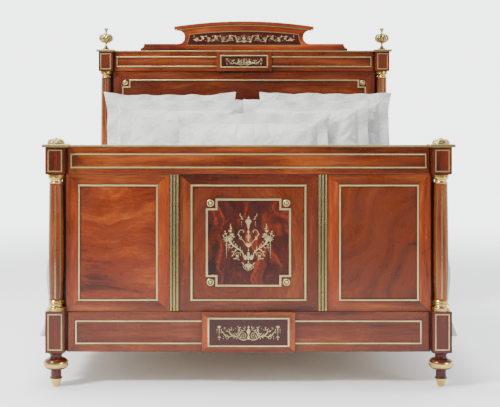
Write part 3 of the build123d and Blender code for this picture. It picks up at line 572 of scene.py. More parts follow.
def board_veneers():
    """Mitred border veneers round the footboard's bays and the headboard's field."""
    centre = (bmesh.new(), bmesh.new())
    outer = (bmesh.new(), bmesh.new())
    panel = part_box("footboard_panel_left")
    front = panel[0].y - VENEER_PROUD
    low, high = panel[0].z + SHADOW_GAP, panel[1].z - SHADOW_GAP
    moulding = (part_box("panel_mouldings")[0].z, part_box("panel_mouldings")[1].z)
    edge = BOARD_EDGE
    stile_in = edge - STILE_VENEER
    bay_in, bay_out, middle, opening = 0.319, 0.365, 0.281, 0.235
    mitred_border((-middle, middle, low, high), (-opening, opening, *moulding), front, *centre)
    mitred_border((-edge, -bay_in, low, high), (-stile_in, -bay_out, *moulding), front, *outer)
    mitred_border((bay_in, edge, low, high), (bay_out, stile_in, *moulding), front, *outer)
    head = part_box("headboard_panel")
    head_front = head[0].y - VENEER_PROUD
    inner = head[1].x
    bottom, top, field_top = head[0].z + SHADOW_GAP, head[1].z - SHADOW_GAP, 1.289
    for side in (-1, 1):
        veneer(centre[0], [(side * edge, bottom), (side * inner, bottom), (side * inner, field_top),
                           (side * edge, top)], head_front)
    veneer(centre[1], [(-edge, top), (edge, top), (inner, field_top), (-inner, field_top)], head_front)
    for bm in (*centre, *outer):
        face_front_edges(bm)
    finish_piece("outer_bay_veneers_upright", outer[0], WOOD["bright"], smooth=False)
    finish_piece("outer_bay_veneers_across", outer[1], WOOD["across"], smooth=False)
    finish_piece("border_veneers_upright", centre[0], WOOD["border"], smooth=False)
    finish_piece("border_veneers_across", centre[1], WOOD["border_across"], smooth=False)


def rail_veneers():
    """Mitred borders on the rails and tablets, outside their brass frames."""
    upright, across = bmesh.new(), bmesh.new()
    easing, neck = 0.003, 0.006
    for node, half, low_z, high_z, ends in (("footboard_top_rail", 0.720, 0.877, 0.938, neck),
                                            ("footboard_bottom_rail", 0.700, 0.167, 0.264, neck),
                                            ("headboard_top_rail", 0.720, 1.358, 1.419, neck),
                                            ("footboard_tablet", 0.1655, 0.158, 0.277, 0.0),
                                            ("headboard_tablet", 0.1345, 1.353, 1.426, 0.0)):
        low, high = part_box(node)
        outer = (low.x + ends + easing, high.x - ends - easing, low.z + easing, high.z - easing)
        mitred_border(outer, (-half, half, low_z, high_z), low.y - VENEER_PROUD, upright, across)
    for bm in (upright, across):
        face_front_edges(bm)
    finish_piece("rail_veneers_upright", upright, WOOD["up"], smooth=False)
    finish_piece("rail_veneers_across", across, WOOD["across"], smooth=False)


def middle_field():
    """The dark flame veneer inside the stepped moulding."""
    bm = bmesh.new()
    half, step, low, high, depth = 0.1685, 0.039, 0.402, 0.751, 0.004
    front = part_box("footboard_panel_centre")[0].y + depth - VENEER_PROUD
    corners = [(half - step, high), (half - step, high - step), (half, high - step),
               (half, low + step), (half - step, low + step), (half - step, low)]
    corners += [(-x, z) for x, z in reversed(corners)]
    veneer(bm, corners, front)
    face_front_edges(bm)
    finish_piece("middle_field_veneer", bm, WOOD["flame"], smooth=False)
    return front


board_veneers()
rail_veneers()
FIELD_FRONT = middle_field()


# ------------------------------------------------------------------ marquetry
def middle_marquetry():
    """A vase on a stem between scrolls, flower horns at the sides, beads hanging and a palmette below."""
    art = Inlay(0.0, 0.5765)
    art.strip([(0, 94, 22), (0, 90, 34), (0, 86, 43), (0, 82, 40), (0, 77, 26), (0, 68, 16), (0, 60, 10),
               (0, 52, 5)], pair=False)
    art.leaf(0, 96, 0, 13, 6, pair=False)
    art.leaf(0, 96, 38, 9, 4)
    for x, z, turn, size in ((22, 92, 28, 9), (27, 99, 2, 9), (30, 104, 40, 9), (33, 109, 8, 11),
                             (25, 94, 62, 7)):
        art.leaf(x, z, turn, size, 4.2)
    art.drop(28, 82, 16, 3, 2.6)
    art.strip([(0, 49, 4), (0, 46, 13), (0, 41, 14), (0, 37, 5), (0, 30, 4), (0, 18, 4.5)], pair=False)
    art.strip([(13, -4, 2.0), (20, 6, 2.8), (31, 18, 3.6), (40, 33, 4.0), (36, 46, 3.6), (27, 51, 3.0),
               (19, 47, 2.4), (18, 41, 2.0)])
    art.bead(20.5, 43, 3.0)
    art.leaf(39, 30, 62, 9, 3.8, -20)
    art.leaf(29, 12, 82, 11, 4.4, -30)
    art.leaf(31, 18, -50, 9, 3.6, 30)
    art.leaf(0, 22, 52, 14, 4.4, -26)
    art.leaf(0, 14, 60, 15, 5.0, -30)
    art.strip([(0, 16, 5), (0, 9, 9), (0, 4, 6)], pair=False)
    for turn, size, wide in ((8, 19, 7), (30, 20, 7.5), (52, 16, 6)):
        art.leaf(1.5, -16, turn, size, wide, 12)
    art.strip([(0, -4, 10), (0, -12, 24), (0, -17, 15), (0, -20, 4)], pair=False)
    art.leaf(0, -36, 0, 13, 6.5, pair=False)
    art.strip([(0, -40, 12), (0, -45, 18), (0, -50, 12)], pair=False)
    art.strip([(12, -50, 6), (13, -57, 20), (12, -64, 21), (11, -70, 8)])
    art.strip([(0, -50, 10), (0, -58, 17), (0, -67, 12), (0, -72, 4)], pair=False)
    art.strip([(20, -58, 5), (22, -44, 6), (31, -33, 7), (44, -24, 6.6), (57, -15, 7.5), (68, -5, 11),
               (75, 5, 15), (78, 13, 17), (79, 18, 11)])
    art.strip([(40, -26, 2.4), (50, -32, 3.4), (59, -42, 3.2), (62, -52, 2.4), (63, -58, 1.6)])
    art.strip([(26, -40, 2.4), (34, -43, 3.2), (44, -41, 3.0), (53, -46, 2.2), (56, -54, 1.6)])
    art.leaf(58, -38, 68, 11, 4.4, 30)
    art.leaf(62, -50, 120, 9, 3.8, 20)
    art.leaf(31, -45, 150, 10, 4, 30)
    for turn in (0, 90, 180, 270):
        art.leaf(45, -55, turn + 45, 9, 6.0)
    art.bead(45, -55, 4.6)
    for x, z, turn, size in ((34, -28, -18, 12), (45, -20, 2, 13), (54, -12, -30, 10), (60, -16, 112, 14),
                             (49, -26, 128, 12), (70, -6, 108, 15), (62, -2, -48, 10), (28, -38, -40, 9),
                             (74, -16, 150, 9)):
        art.leaf(x, z, turn, size, 4.8, 22)
    for turn, size in ((-104, 13), (-78, 15), (-52, 16), (-24, 14), (4, 12), (34, 15), (60, 19), (84, 20),
                       (108, 17), (132, 13)):
        way = math.radians(turn)
        art.leaf(79 + 5 * math.sin(way), 13 + 5 * math.cos(way), turn, size, 5.4, 10)
    for x, z, size in ((66, 33, 5.2), (74, 47, 4.6), (71, 57, 3.4), (73, 66, 2.6), (72, 74, 1.8),
                       (92, 36, 3.8), (95, 45, 2.4), (60, 24, 3.4), (101, 28, 2.6)):
        art.bead(x, z, size)
        art.leaf(x, z - size, 70, size * 2.4, size * 0.9, -30)
        art.leaf(x, z - size, -70, size * 2.4, size * 0.9, 30)
    art.strip([(78, 24, 1.6), (72, 40, 1.4), (73, 60, 1.2), (72, 76, 0.8)])
    art.strip([(84, 22, 1.6), (92, 34, 1.4), (96, 47, 0.8)])
    for step, z in enumerate(range(-4, -68, -8)):
        art.bead(88 + (step % 2) * 1.5, z, 3.4 - step * 0.22)
    art.drop(81, -8, 24, 5, 2.2)
    art.leaf(63, -66, -82, 26, 6, -10)
    art.leaf(36, -70, 82, 8, 3.6, 10)
    art.bead(0, -80, 5.0, pair=False)
    art.leaf(22, -82, 190, 12, 7.5, 20)
    art.leaf(27, -80, 215, 10, 4.6, 20)
    for turn, size, wide in ((112, 20, 7.5), (138, 22, 8), (160, 22, 8)):
        art.leaf(3, -86, turn, size, wide, 18)
    art.leaf(0, -88, 180, 27, 9, pair=False)
    art.strip([(22, -94, 2.4), (18, -103, 3.2), (8, -110, 2.6), (2, -114, 1.6)])
    return art.piece("middle_marquetry", FIELD_FRONT)


def tablet_marquetry(name, node_front, x, z, wide, high):
    """An urn between volutes with leafy scrolls running out to hanging bows."""
    art = Inlay(x, z)
    s, t = wide / 133, high / 35
    art.strip([(0, 30 * t, 2), (0, 26 * t, 8 * s), (0, 21 * t, 13 * s), (0, 17 * t, 5), (0, 13 * t, 18 * s),
               (0, 5 * t, 25 * s), (0, -3 * t, 14 * s), (0, -9 * t, 5), (0, -14 * t, 11 * s),
               (0, -22 * t, 16 * s), (0, -28 * t, 10 * s)], pair=False)
    art.spiral(21 * s, -13 * t, 13 * t, 70, 1.5, 3.4)
    art.strip([(6 * s, -26 * t, 5), (18 * s, -30 * t, 6), (32 * s, -27 * t, 5), (44 * s, -17 * t, 3.4)])
    art.strip([(12 * s, 12 * t, 3), (22 * s, 9 * t, 3.4), (32 * s, -2 * t, 4), (43 * s, -15 * t, 4.6),
               (58 * s, -16 * t, 5), (70 * s, -8 * t, 4.4), (77 * s, 3 * t, 3.4), (72 * s, 12 * t, 2.4),
               (65 * s, 8 * t, 1.8)])
    art.strip([(66 * s, -13 * t, 4), (80 * s, -17 * t, 4.6), (95 * s, -9 * t, 4), (104 * s, 3 * t, 3),
               (112 * s, 14 * t, 2.2)])
    art.strip([(30 * s, -24 * t, 3), (38 * s, -6 * t, 3.4), (41 * s, 8 * t, 3), (36 * s, 20 * t, 2.4),
               (30 * s, 24 * t, 1.6)])
    for px, pz, turn, size in ((33, 0, 8, 17), (37, -8, 40, 15), (44, -14, 20, 19), (50, -16, 48, 16),
                               (57, -15, 4, 16), (63, -12, 40, 17), (70, -8, 14, 15), (76, 2, 52, 12),
                               (75, 8, 10, 13), (70, 13, -40, 10), (82, -16, 24, 15), (89, -13, 52, 13),
                               (96, -8, 20, 13), (102, 0, 62, 11), (54, -17, 120, 11), (46, -20, 150, 9),
                               (78, -18, 128, 11), (90, -14, 150, 9), (25, 6, 22, 13), (39, 10, -30, 11),
                               (36, 18, 30, 10), (14, 15, 40, 12), (12, 20, 10, 9), (98, 14, -20, 9),
                               (86, 2, 10, 12)):
        art.leaf(px * s, pz * t, turn, size * t, 4.0 * t + 0.6, 24)
    for px, pz in ((61, 12), (84, 10), (52, 18), (70, 22), (94, 20), (100, -16), (44, 26), (88, -25),
                   (101, -24)):
        art.bead(px * s, pz * t, 2.0 * t)
    for lean in (-84, -50, -16, 16, 50, 84):
        art.leaf(118 * s, 20 * t, lean, 11 * t, 4.4 * t, -lean * 0.4)
    art.bead(118 * s, 20 * t, 3.4 * t)
    art.drop(118 * s, 13 * t, 24 * t, 5, 3.0 * t)
    art.drop(109 * s, 14 * t, 16 * t, 4, 2.0 * t)
    art.drop(127 * s, 14 * t, 16 * t, 4, 2.0 * t)
    for lean in (-50, 0, 50):
        art.leaf(118 * s, -15 * t, 180 + lean, 10 * t, 4.6 * t)
    art.bead(118 * s, -28 * t, 3.0 * t)
    return art.piece(name, node_front)


def crest_marquetry(front):
    """A running scroll of leaves either side of a flower."""
    art = Inlay(0.0, 1.519)
    for turn in range(0, 360, 45):
        art.leaf(0, 1, turn, 11, 4.4, pair=False)
    art.bead(0, 1, 3.4, pair=False)
    art.leaf(0, 11, 0, 10, 5, pair=False)
    art.strip([(0, -15, 5), (0, -20, 13), (0, -23, 3)], pair=False)
    for turn in (24, 50, 76):
        art.leaf(2, -20, turn, 15, 4.4, -20)
    stem, up = [(4, -16, 2.6)], 1
    for i, x in enumerate((30, 72, 114, 155, 194, 230, 262)):
        size = 16.5 - i * 1.6
        art.spiral(x, -up * 1.0, size, -90 * up, up * 1.4, 2.7 - i * 0.12)
        stem.append((x - 20, -up * 12, 3.0 - i * 0.14))
        stem.append((x, -up * (size + 0.5), 2.8 - i * 0.14))
        for turn, reach in ((18, 1.0), (58, 0.9), (-34, 0.8)):
            art.leaf(x + 6, -up * size * 0.85, turn if up < 0 else 180 - turn, 12 * reach, 4.0, 30 * up)
        art.leaf(x + 19, up * 9, -40 * up, 9, 3.6, 30)
        art.leaf(x + 17, up * 12, 40 * up, 9, 3.6, -30)
        art.leaf(x - 15, up * 11, -60 * up, 8, 3.4, 30)
        art.bead(x + 20, up * 16 * (1 - i * 0.08), 2.0)
        for spoke in range(0, 360, 72):
            art.leaf(x, -up * 1.0, spoke, 5.4, 2.6)
        up = -up
    art.strip(stem)
    art.leaf(270, -6, 92, 18, 4.4, -10)
    art.leaf(268, -3, 66, 11, 3.6, 30)
    art.leaf(268, -9, 118, 11, 3.6, -30)
    return art.piece("crest_marquetry", front)


tablet_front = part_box("footboard_tablet")[0].y
middle_marquetry()
tablet_marquetry("foot_tablet_marquetry", tablet_front, 0.0, 0.2155, 133, 34)
tablet_marquetry("head_tablet_marquetry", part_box("headboard_tablet")[0].y, 0.0, 1.3885, 108, 22)
crest_marquetry(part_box("crest_board")[0].y)


# ------------------------------------------------------------------ cast brass
BOSS_TURNING = [(0.034, 0.0, 0.0), (0.035, 0.003, 0.001), (0.033, 0.006, 0.003), (0.029, 0.011, 0.005),
                (0.022, 0.016, 0.005), (0.013, 0.019, 0.002), (0.009, 0.020, 0.0), (0.0085, 0.023, 0.001),
                (0.004, 0.0258, 0.001), (0.0004, 0.026, 0.0)]
BOSS_LEAF = [(0.012, 0.0195), (0.022, 0.0205), (0.031, 0.014), (0.0355, 0.006), (0.037, 0.004)]
URN_TURNING = [(0.024, 0.0, 0.002), (0.023, 0.003, 0.002), (0.012, 0.006, 0.0), (0.0085, 0.009, 0.0),
               (0.0115, 0.014, 0.001), (0.0085, 0.019, 0.0), (0.0055, 0.023, 0.0), (0.0048, 0.032, 0.0),
               (0.010, 0.036, 0.001), (0.024, 0.041, 0.003), (0.036, 0.050, 0.005), (0.0390, 0.061, 0.006),
               (0.0380, 0.072, 0.005), (0.031, 0.081, 0.004), (0.021, 0.087, 0.002), (0.012, 0.0905, 0.0),
               (0.0058, 0.094, 0.0), (0.0050, 0.099, 0.0), (0.0080, 0.105, 0.001), (0.0115, 0.113, 0.0015),
               (0.0118, 0.1195, 0.0), (0.009, 0.1197, 0.0), (0.006, 0.112, 0.0)]
URN_LEAF = [(0.018, 0.0885), (0.030, 0.0855), (0.0390, 0.075), (0.0415, 0.062), (0.039, 0.051)]
CUP_LEAF = [(0.006, 0.034), (0.013, 0.038), (0.023, 0.042), (0.031, 0.050)]
FOOT_LEAF = [(0.006, 0.010), (0.014, 0.011), (0.023, 0.006), (0.031, 0.003)]


def turned_about(place, count, start):
    """Places round a post, evenly spaced from a starting angle in degrees."""
    return [place @ Matrix.Rotation(math.radians(360 / count * i + start), 4, "Z") for i in range(count)]


def cast_ornaments():
    """Leafy bosses on the foot posts and urn finials on the head posts."""
    bosses, finials = bmesh.new(), bmesh.new()
    for side in (-1, 1):
        at = Matrix.Translation((side * POST_X, -POST_Y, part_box("cap_bosses")[0].z))
        lobed(bosses, BOSS_TURNING, 8, at)
        for turn in turned_about(at, 8, 22.5):
            curled_leaf(bosses, turn, BOSS_LEAF, 0.017)
        at = Matrix.Translation((side * POST_X, POST_Y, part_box("finials")[0].z))
        lobed(finials, URN_TURNING, 10, at)
        for turn in turned_about(at, 8, 18):
            curled_leaf(finials, turn, URN_LEAF, 0.022)
            curled_leaf(finials, turn, CUP_LEAF, 0.012)
        for turn in turned_about(at, 4, 45):
            curled_leaf(finials, turn, FOOT_LEAF, 0.013)
    for bm in (bosses, finials):
        bm.normal_update()
    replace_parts(finish_piece("leafy_bosses", bosses, BRASS_CAPS), "cap_bosses")
    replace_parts(finish_piece("urn_finials", finials, BRASS_DARK), "finials")


cast_ornaments()


# ------------------------------------------------------------------ bedding
REAR, SECOND, FRONT = (0.747, 0.686, 0.128), (0.698, 0.640, 0.120), (0.828, 0.562, 0.130)
FLANGE = 0.065
LEAN = 23
SUNK_FOOT = 0.050
TURNED_UNDER = 0.055
AIR_PRESSURE = 3.0
CLOTH_SLACK = 0.10
MOST_SWELL = 0.030


def ripple(point, scale, seed=0.0):
    return noise.noise(Vector(point) * scale + Vector((seed, seed * 1.7, seed * 2.3)))


def blown_up(mesh_object, pinned, pressure, slack, cap, frames=20):
    """Fills a closed cloth with air for a few frames and keeps the shape it takes."""
    start = np.array([v.co for v in mesh_object.data.vertices])
    group = mesh_object.vertex_groups.new(name="held")
    group.add(pinned, 1.0, "REPLACE")
    cloth_mod = mesh_object.modifiers.new("cloth", "CLOTH")
    settings = cloth_mod.settings
    settings.quality = 6
    settings.mass = 0.2
    settings.tension_stiffness = 15
    settings.compression_stiffness = 15
    settings.shear_stiffness = 5
    settings.bending_stiffness = 0.02
    settings.use_pressure = True
    settings.uniform_pressure_force = pressure
    settings.shrink_min = -slack
    settings.shrink_max = -slack
    settings.vertex_group_mass = "held"
    settings.effector_weights.gravity = 0.0
    cloth_mod.collision_settings.use_collision = False
    cloth_mod.point_cache.frame_start = 1
    cloth_mod.point_cache.frame_end = frames
    scene = bpy.context.scene
    for number in range(1, frames + 1):
        scene.frame_set(number)
    graph = bpy.context.evaluated_depsgraph_get()
    shaped = bpy.data.meshes.new_from_object(mesh_object.evaluated_get(graph))
    moved = np.array([v.co for v in shaped.vertices]) - start
    reach = np.linalg.norm(moved, axis=1, keepdims=True)
    bpy.data.meshes.remove(shaped)
    mesh_object.modifiers.clear()
    scene.frame_set(1)
    return start + moved * np.minimum(1.0, cap / np.maximum(reach, 1e-9))


def marks(length, flange, cell):
    """Places of the mesh lines across a case, with a line on each seam."""
    edge = max(4, round(flange / cell))
    middle = round((length - 2 * flange) / cell)
    inner = length / 2 - flange
    left = np.linspace(-length / 2, -inner, edge + 1)
    return np.concatenate([left[:-1], np.linspace(-inner, inner, middle + 1), -left[::-1][1:]]), edge


def creases(x, z, half, seed):
    """How far cloth stands up in puckers along the seam and in soft folds that run in from the corners."""
    depth = min(half[0] - abs(x), half[1] - abs(z))
    side = z if half[0] - abs(x) < half[1] - abs(z) else x
    pucker = math.sin(side * 150 + 5 * ripple((side, 0, 0), 5.0, seed))
    pucker *= 0.5 + ripple((side, depth, 0), 9.0, seed + 1)
    height = 0.0034 * pucker * math.exp(-depth / 0.034)
    for cx, cz in ((-1, -1), (1, -1), (-1, 1), (1, 1)):
        dx, dz = x - cx * half[0], z - cz * half[1]
        away = math.hypot(dx, dz)
        angle = math.atan2(abs(dz), abs(dx))
        fan = math.sin(angle * 13 + 3.5 * ripple((cx, cz, away), 2.2, seed + 2)) * math.sin(2 * angle)
        height += 0.0080 * fan * (1 - math.exp(-away / 0.03)) * math.exp(-away / 0.16)
    drift = 0.10 * ripple((x, 0, z), 3.0, seed + 3)
    slant = 0.8 if (x < 0) == (z > 0) else -0.8
    fold = ripple(((x + slant * z) * 2.6 + drift, 0, (z - slant * x) * 0.9), 4.6, seed + 5)
    ridge = max(0.0, 1 - abs(fold) * 3.4) ** 2
    height += 0.0065 * (ridge - 0.25) * min(1.0, depth / 0.03)
    height += 0.012 * ripple((x, 0, z), 6.0, seed + 6) * min(1.0, depth / 0.05)
    wrinkle = ripple((x + 0.6 * z, 0, (z - 0.5 * x) * 0.35), 17.0, seed + 7)
    height += 0.007 * wrinkle * min(1.0, depth / 0.04)
    return height


def pillow_shape(size, flange, seed):
    """A filled, flanged case, standing upright in its own frame.

    Gives its points before and after filling, its faces and the ring of points on its seam.
    """
    wide, tall, thick = size
    cell = 0.0095
    xs, edge = marks(wide, flange, cell)
    zs, edge = marks(tall, flange, cell)
    columns, rows = len(xs) - 1, len(zs) - 1
    half = (wide / 2 - flange, tall / 2 - flange)
    bm = bmesh.new()
    grid = {}
    held = []
    for layer in (-1, 1):
        for j, z in enumerate(zs):
            for i, x in enumerate(xs):
                rim = i in (0, columns) or j in (0, rows)
                if rim and layer > 0:
                    grid[layer, i, j] = grid[-1, i, j]
                    continue
                depth = min(half[0] - abs(x), half[1] - abs(z))
                puff = 0.0012
                if depth > 1e-6:
                    crown = 0.72 + 0.28 * (1 - (x / half[0]) ** 2) * (1 - (z / half[1]) ** 2)
                    puff += thick * 0.40 * crown * (1 - math.exp(-depth / 0.040))
                grid[layer, i, j] = bm.verts.new((x, 0.0 if rim else layer * puff, z))
    bm.verts.index_update()
    for layer in (-1, 1):
        for j in range(rows):
            for i in range(columns):
                corner = [grid[layer, i + a, j + b] for a, b in ((0, 0), (1, 0), (1, 1), (0, 1))]
                bm.faces.new(corner if layer < 0 else list(reversed(corner)))
    for (layer, i, j), vert in grid.items():
        if i <= edge or j <= edge or i >= columns - edge or j >= rows - edge:
            held.append(vert.index)
    last, top = columns - edge, rows - edge
    ring = [(i, edge) for i in range(edge, last)] + [(last, j) for j in range(edge, top)]
    ring += [(i, top) for i in range(last, edge, -1)] + [(edge, j) for j in range(top, edge, -1)]
    seam = [grid[-1, i, j].index for i, j in ring]
    mesh = bpy.data.meshes.new("case")
    bm.to_mesh(mesh)
    bm.free()
    case = bpy.data.objects.new("case", mesh)
    bpy.context.scene.collection.objects.link(case)
    flat = np.array([v.co for v in mesh.vertices])
    points = flat.copy()
    points = blown_up(case, held, AIR_PRESSURE, CLOTH_SLACK, MOST_SWELL)
    for k, (x, y, z) in enumerate(flat):
        if min(half[0] - abs(x), half[1] - abs(z)) > 1e-6:
            points[k, 1] += math.copysign(creases(x, z, half, seed + (4 if y > 0 else 0)), y)
    reach = np.abs(points[:, 1]).max()
    points[:, 1] *= min(1.0, thick / 2 / reach)
    faces = [tuple(p.vertices) for p in mesh.polygons]
    bpy.data.objects.remove(case)
    return flat, points, faces, seam


def place_pillow(name, node, body, shape, size, lean, look):
    """Sets a filled case against the row behind: corners drawn out, foot sunk, flange soft.

    look is (seed, side, sag of the top edge, drawing in of the two sides, tuck of one side); a side of -1
    mirrors the case.
    """
    wide, tall, thick = size
    flat, points, faces, seam = shape
    seed, flip, sag, pinch, tuck = look
    placed = []
    seat = tall / 2 - FLANGE
    for (fx, fy, fz), (x, y, z) in zip(flat, points):
        u, v = 2 * fx / wide, 2 * fz / tall
        outside = max(abs(fx) - (wide / 2 - FLANGE), abs(fz) - (tall / 2 - FLANGE), 0.0) / FLANGE
        edge_in = pinch[0] if u < 0 else pinch[1]
        x *= 1 - edge_in * (1 - v ** 4) * abs(u) ** 0.5
        if z > 0:
            z *= 1 - sag * (1 - u ** 4) * v
            waver = 0.0045 * ripple((u * 2, 0, seed), 1.7, seed)
            waver += 0.0025 * ripple((u * 5, 0, seed), 2.0, seed)
            z += waver * v
        if fz < 0:
            sink = min(1.0, -fz / seat)
            z -= sink * sink * SUNK_FOOT * (1 - 0.35 * u * u)
            if fz < -seat:
                under = (-fz - seat) / FLANGE
                z = -seat - SUNK_FOOT * (1 - 0.35 * u * u) - 0.012 * under
                y -= TURNED_UNDER * under
        x += 0.005 * ripple((seed, v * 3, 0), 1.9, seed + 3) * abs(u) ** 3
        wave = 0.006 * ripple((x, 0, z), 7.0, seed) + 0.003 * ripple((x, 0, z), 17.0, seed + 4)
        y += wave * (0.35 + 0.9 * min(1.0, outside))
        if outside > 0 and v > -0.7:
            along = z if abs(u) > abs(v) else x
            y += 0.007 * outside * math.sin(along * 42 + 4 * ripple((along, seed, 0), 2.5, seed))
            if v > 0:
                y += 0.008 * outside * (0.3 + u * u)
        y += tuck * max(0.0, u * flip) ** 6 * 0.020
        y *= 1 + 0.10 * (-v)
        placed.append((x * flip, y, z))
    turn = Matrix.Translation(pillow_centre(node)) @ Matrix.Rotation(math.radians(-lean), 4, "X")
    bm = bmesh.new()
    verts = [bm.verts.new(turn @ Vector(p)) for p in placed]
    for face in faces:
        corner = [verts[i] for i in face]
        bm.faces.new(corner if flip > 0 else list(reversed(corner)))
    case = finish_piece(name, bm, LINEN, body)
    smooth = case.modifiers.new("smooth", "SUBSURF")
    smooth.levels = smooth.render_levels = 1
    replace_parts(case, node)
    stitches = bmesh.new()
    # the seam cord's dark colour is painted shade for the shadow line at the seam
    tube(stitches, [turn @ Vector(placed[i]) for i in seam], 0.0021, 6)
    finish_piece(name + "_seam", stitches, SEAM_SHADE_THREAD, body)


def pillow_centre(node):
    low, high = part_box(node)
    return (low + high) / 2


def make_pillows():
    rear = pillow_shape(REAR, FLANGE, 1.0)
    second = pillow_shape(SECOND, FLANGE, 2.0)
    front = pillow_shape(FRONT, FLANGE, 3.0)
    for row, side, body, shape, size, look in (
            ("rear", "_left", "rear_pillows", rear, REAR, (1.3, 1, 0.070, (0.085, 0.03), 0)),
            ("rear", "_right", "rear_pillows", rear, REAR, (5.1, -1, 0.045, (0.075, 0.03), 0)),
            ("second", "_left", "second_pillows", second, SECOND, (2.2, 1, 0.045, (0.06, 0.0), 1)),
            ("second", "_right", "second_pillows", second, SECOND, (6.4, -1, 0.04, (0.06, 0.0), 0)),
            ("front", "", "front_pillow", front, FRONT, (3.7, 1, 0.045, (0.05, 0.05), 0))):
        place_pillow(f"{row}{side}_case", f"pillow_{row}{side}", body, shape, size, LEAN, look)


def soft_box(name, node, body, material, cell=0.03, puff=0.006, tuft=None):
    """A filled block with rounded edges: its faces swell a little between its piped edges."""
    low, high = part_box(node)
    centre, half = (low + high) / 2, (high - low) / 2
    edge = 0.03
    core = half - Vector((edge, edge, edge))
    counts = [max(4, round(2 * h / cell)) for h in half]
    bm = bmesh.new()
    seen = {}

    def vert(p):
        key = tuple(round(c, 5) for c in p)
        if key not in seen:
            unit = Vector(p)
            inner = Vector([max(-c, min(c, u * h)) for u, h, c in zip(unit, half, core)])
            out = Vector([u * h for u, h in zip(unit, half)]) - inner
            spot = inner + (out.normalized() * edge if out.length > 1e-6 else out)
            swell = [math.cos(min(1.0, abs(u)) * math.pi / 2) for u in unit]
            face = max(range(3), key=lambda k: abs(unit[k]))
            others = [k for k in range(3) if k != face]
            lift = -puff * 0.4 + puff * 0.4 * (swell[others[0]] * swell[others[1]]) ** 0.4
            lift += 0.0015 * ripple(spot, 6.0, 3.0)
            if tuft and face == 2:
                sx, sy = tuft
                near = (math.cos(math.pi * spot.x / sx) ** 2 * math.cos(math.pi * spot.y / sy) ** 2) ** 6
                lift -= 0.010 * near
            spot[face] += math.copysign(lift, unit[face])
            seen[key] = bm.verts.new(centre + spot)
        return seen[key]

    for face in range(3):
        a, b = [k for k in range(3) if k != face]
        for side in (-1, 1):
            for i in range(counts[a]):
                for j in range(counts[b]):
                    quad = []
                    for di, dj in ((0, 0), (1, 0), (1, 1), (0, 1)):
                        p = [0.0, 0.0, 0.0]
                        p[face] = side
                        p[a] = -1 + 2 * (i + di) / counts[a]
                        p[b] = -1 + 2 * (j + dj) / counts[b]
                        quad.append(vert(p))
                    bm.faces.new(quad)
    bmesh.ops.recalc_face_normals(bm, faces=bm.faces)
    piece = finish_piece(name, bm, material, body)
    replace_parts(piece, node)
    pipes = bmesh.new()
    reach = Vector((half.x - 0.003, half.y - 0.003))
    corner = 0.035
    for z in (low.z + 0.012, high.z - 0.012):
        ring = []
        for k, (sx, sy) in enumerate(((1, 1), (-1, 1), (-1, -1), (1, -1))):
            for q in range(7):
                angle = math.radians(90 * k + 15 * q)
                ring.append(Vector((centre.x + sx * (reach.x - corner) + corner * math.cos(angle),
                                    centre.y + sy * (reach.y - corner) + corner * math.sin(angle), z)))
        tube(pipes, ring, 0.004)
    finish_piece(name + "_piping", pipes, PIPING, body)


def tube(bm, ring, radius, sides=8):
    """A closed round cord along a ring of points."""
    rows = []
    count = len(ring)
    for i, p in enumerate(ring):
        way = (ring[(i + 1) % count] - ring[i - 1]).normalized()
        side = way.cross(Vector((0, 0, 1))).normalized()
        up = side.cross(way)
        rows.append([bm.verts.new(p + side * radius * math.cos(2 * math.pi * k / sides)
                                  + up * radius * math.sin(2 * math.pi * k / sides)) for k in range(sides)])
    for i in range(count):
        a, b = rows[i], rows[(i + 1) % count]
        for k in range(sides):
            bm.faces.new((a[k], b[k], b[(k + 1) % sides], a[(k + 1) % sides]))


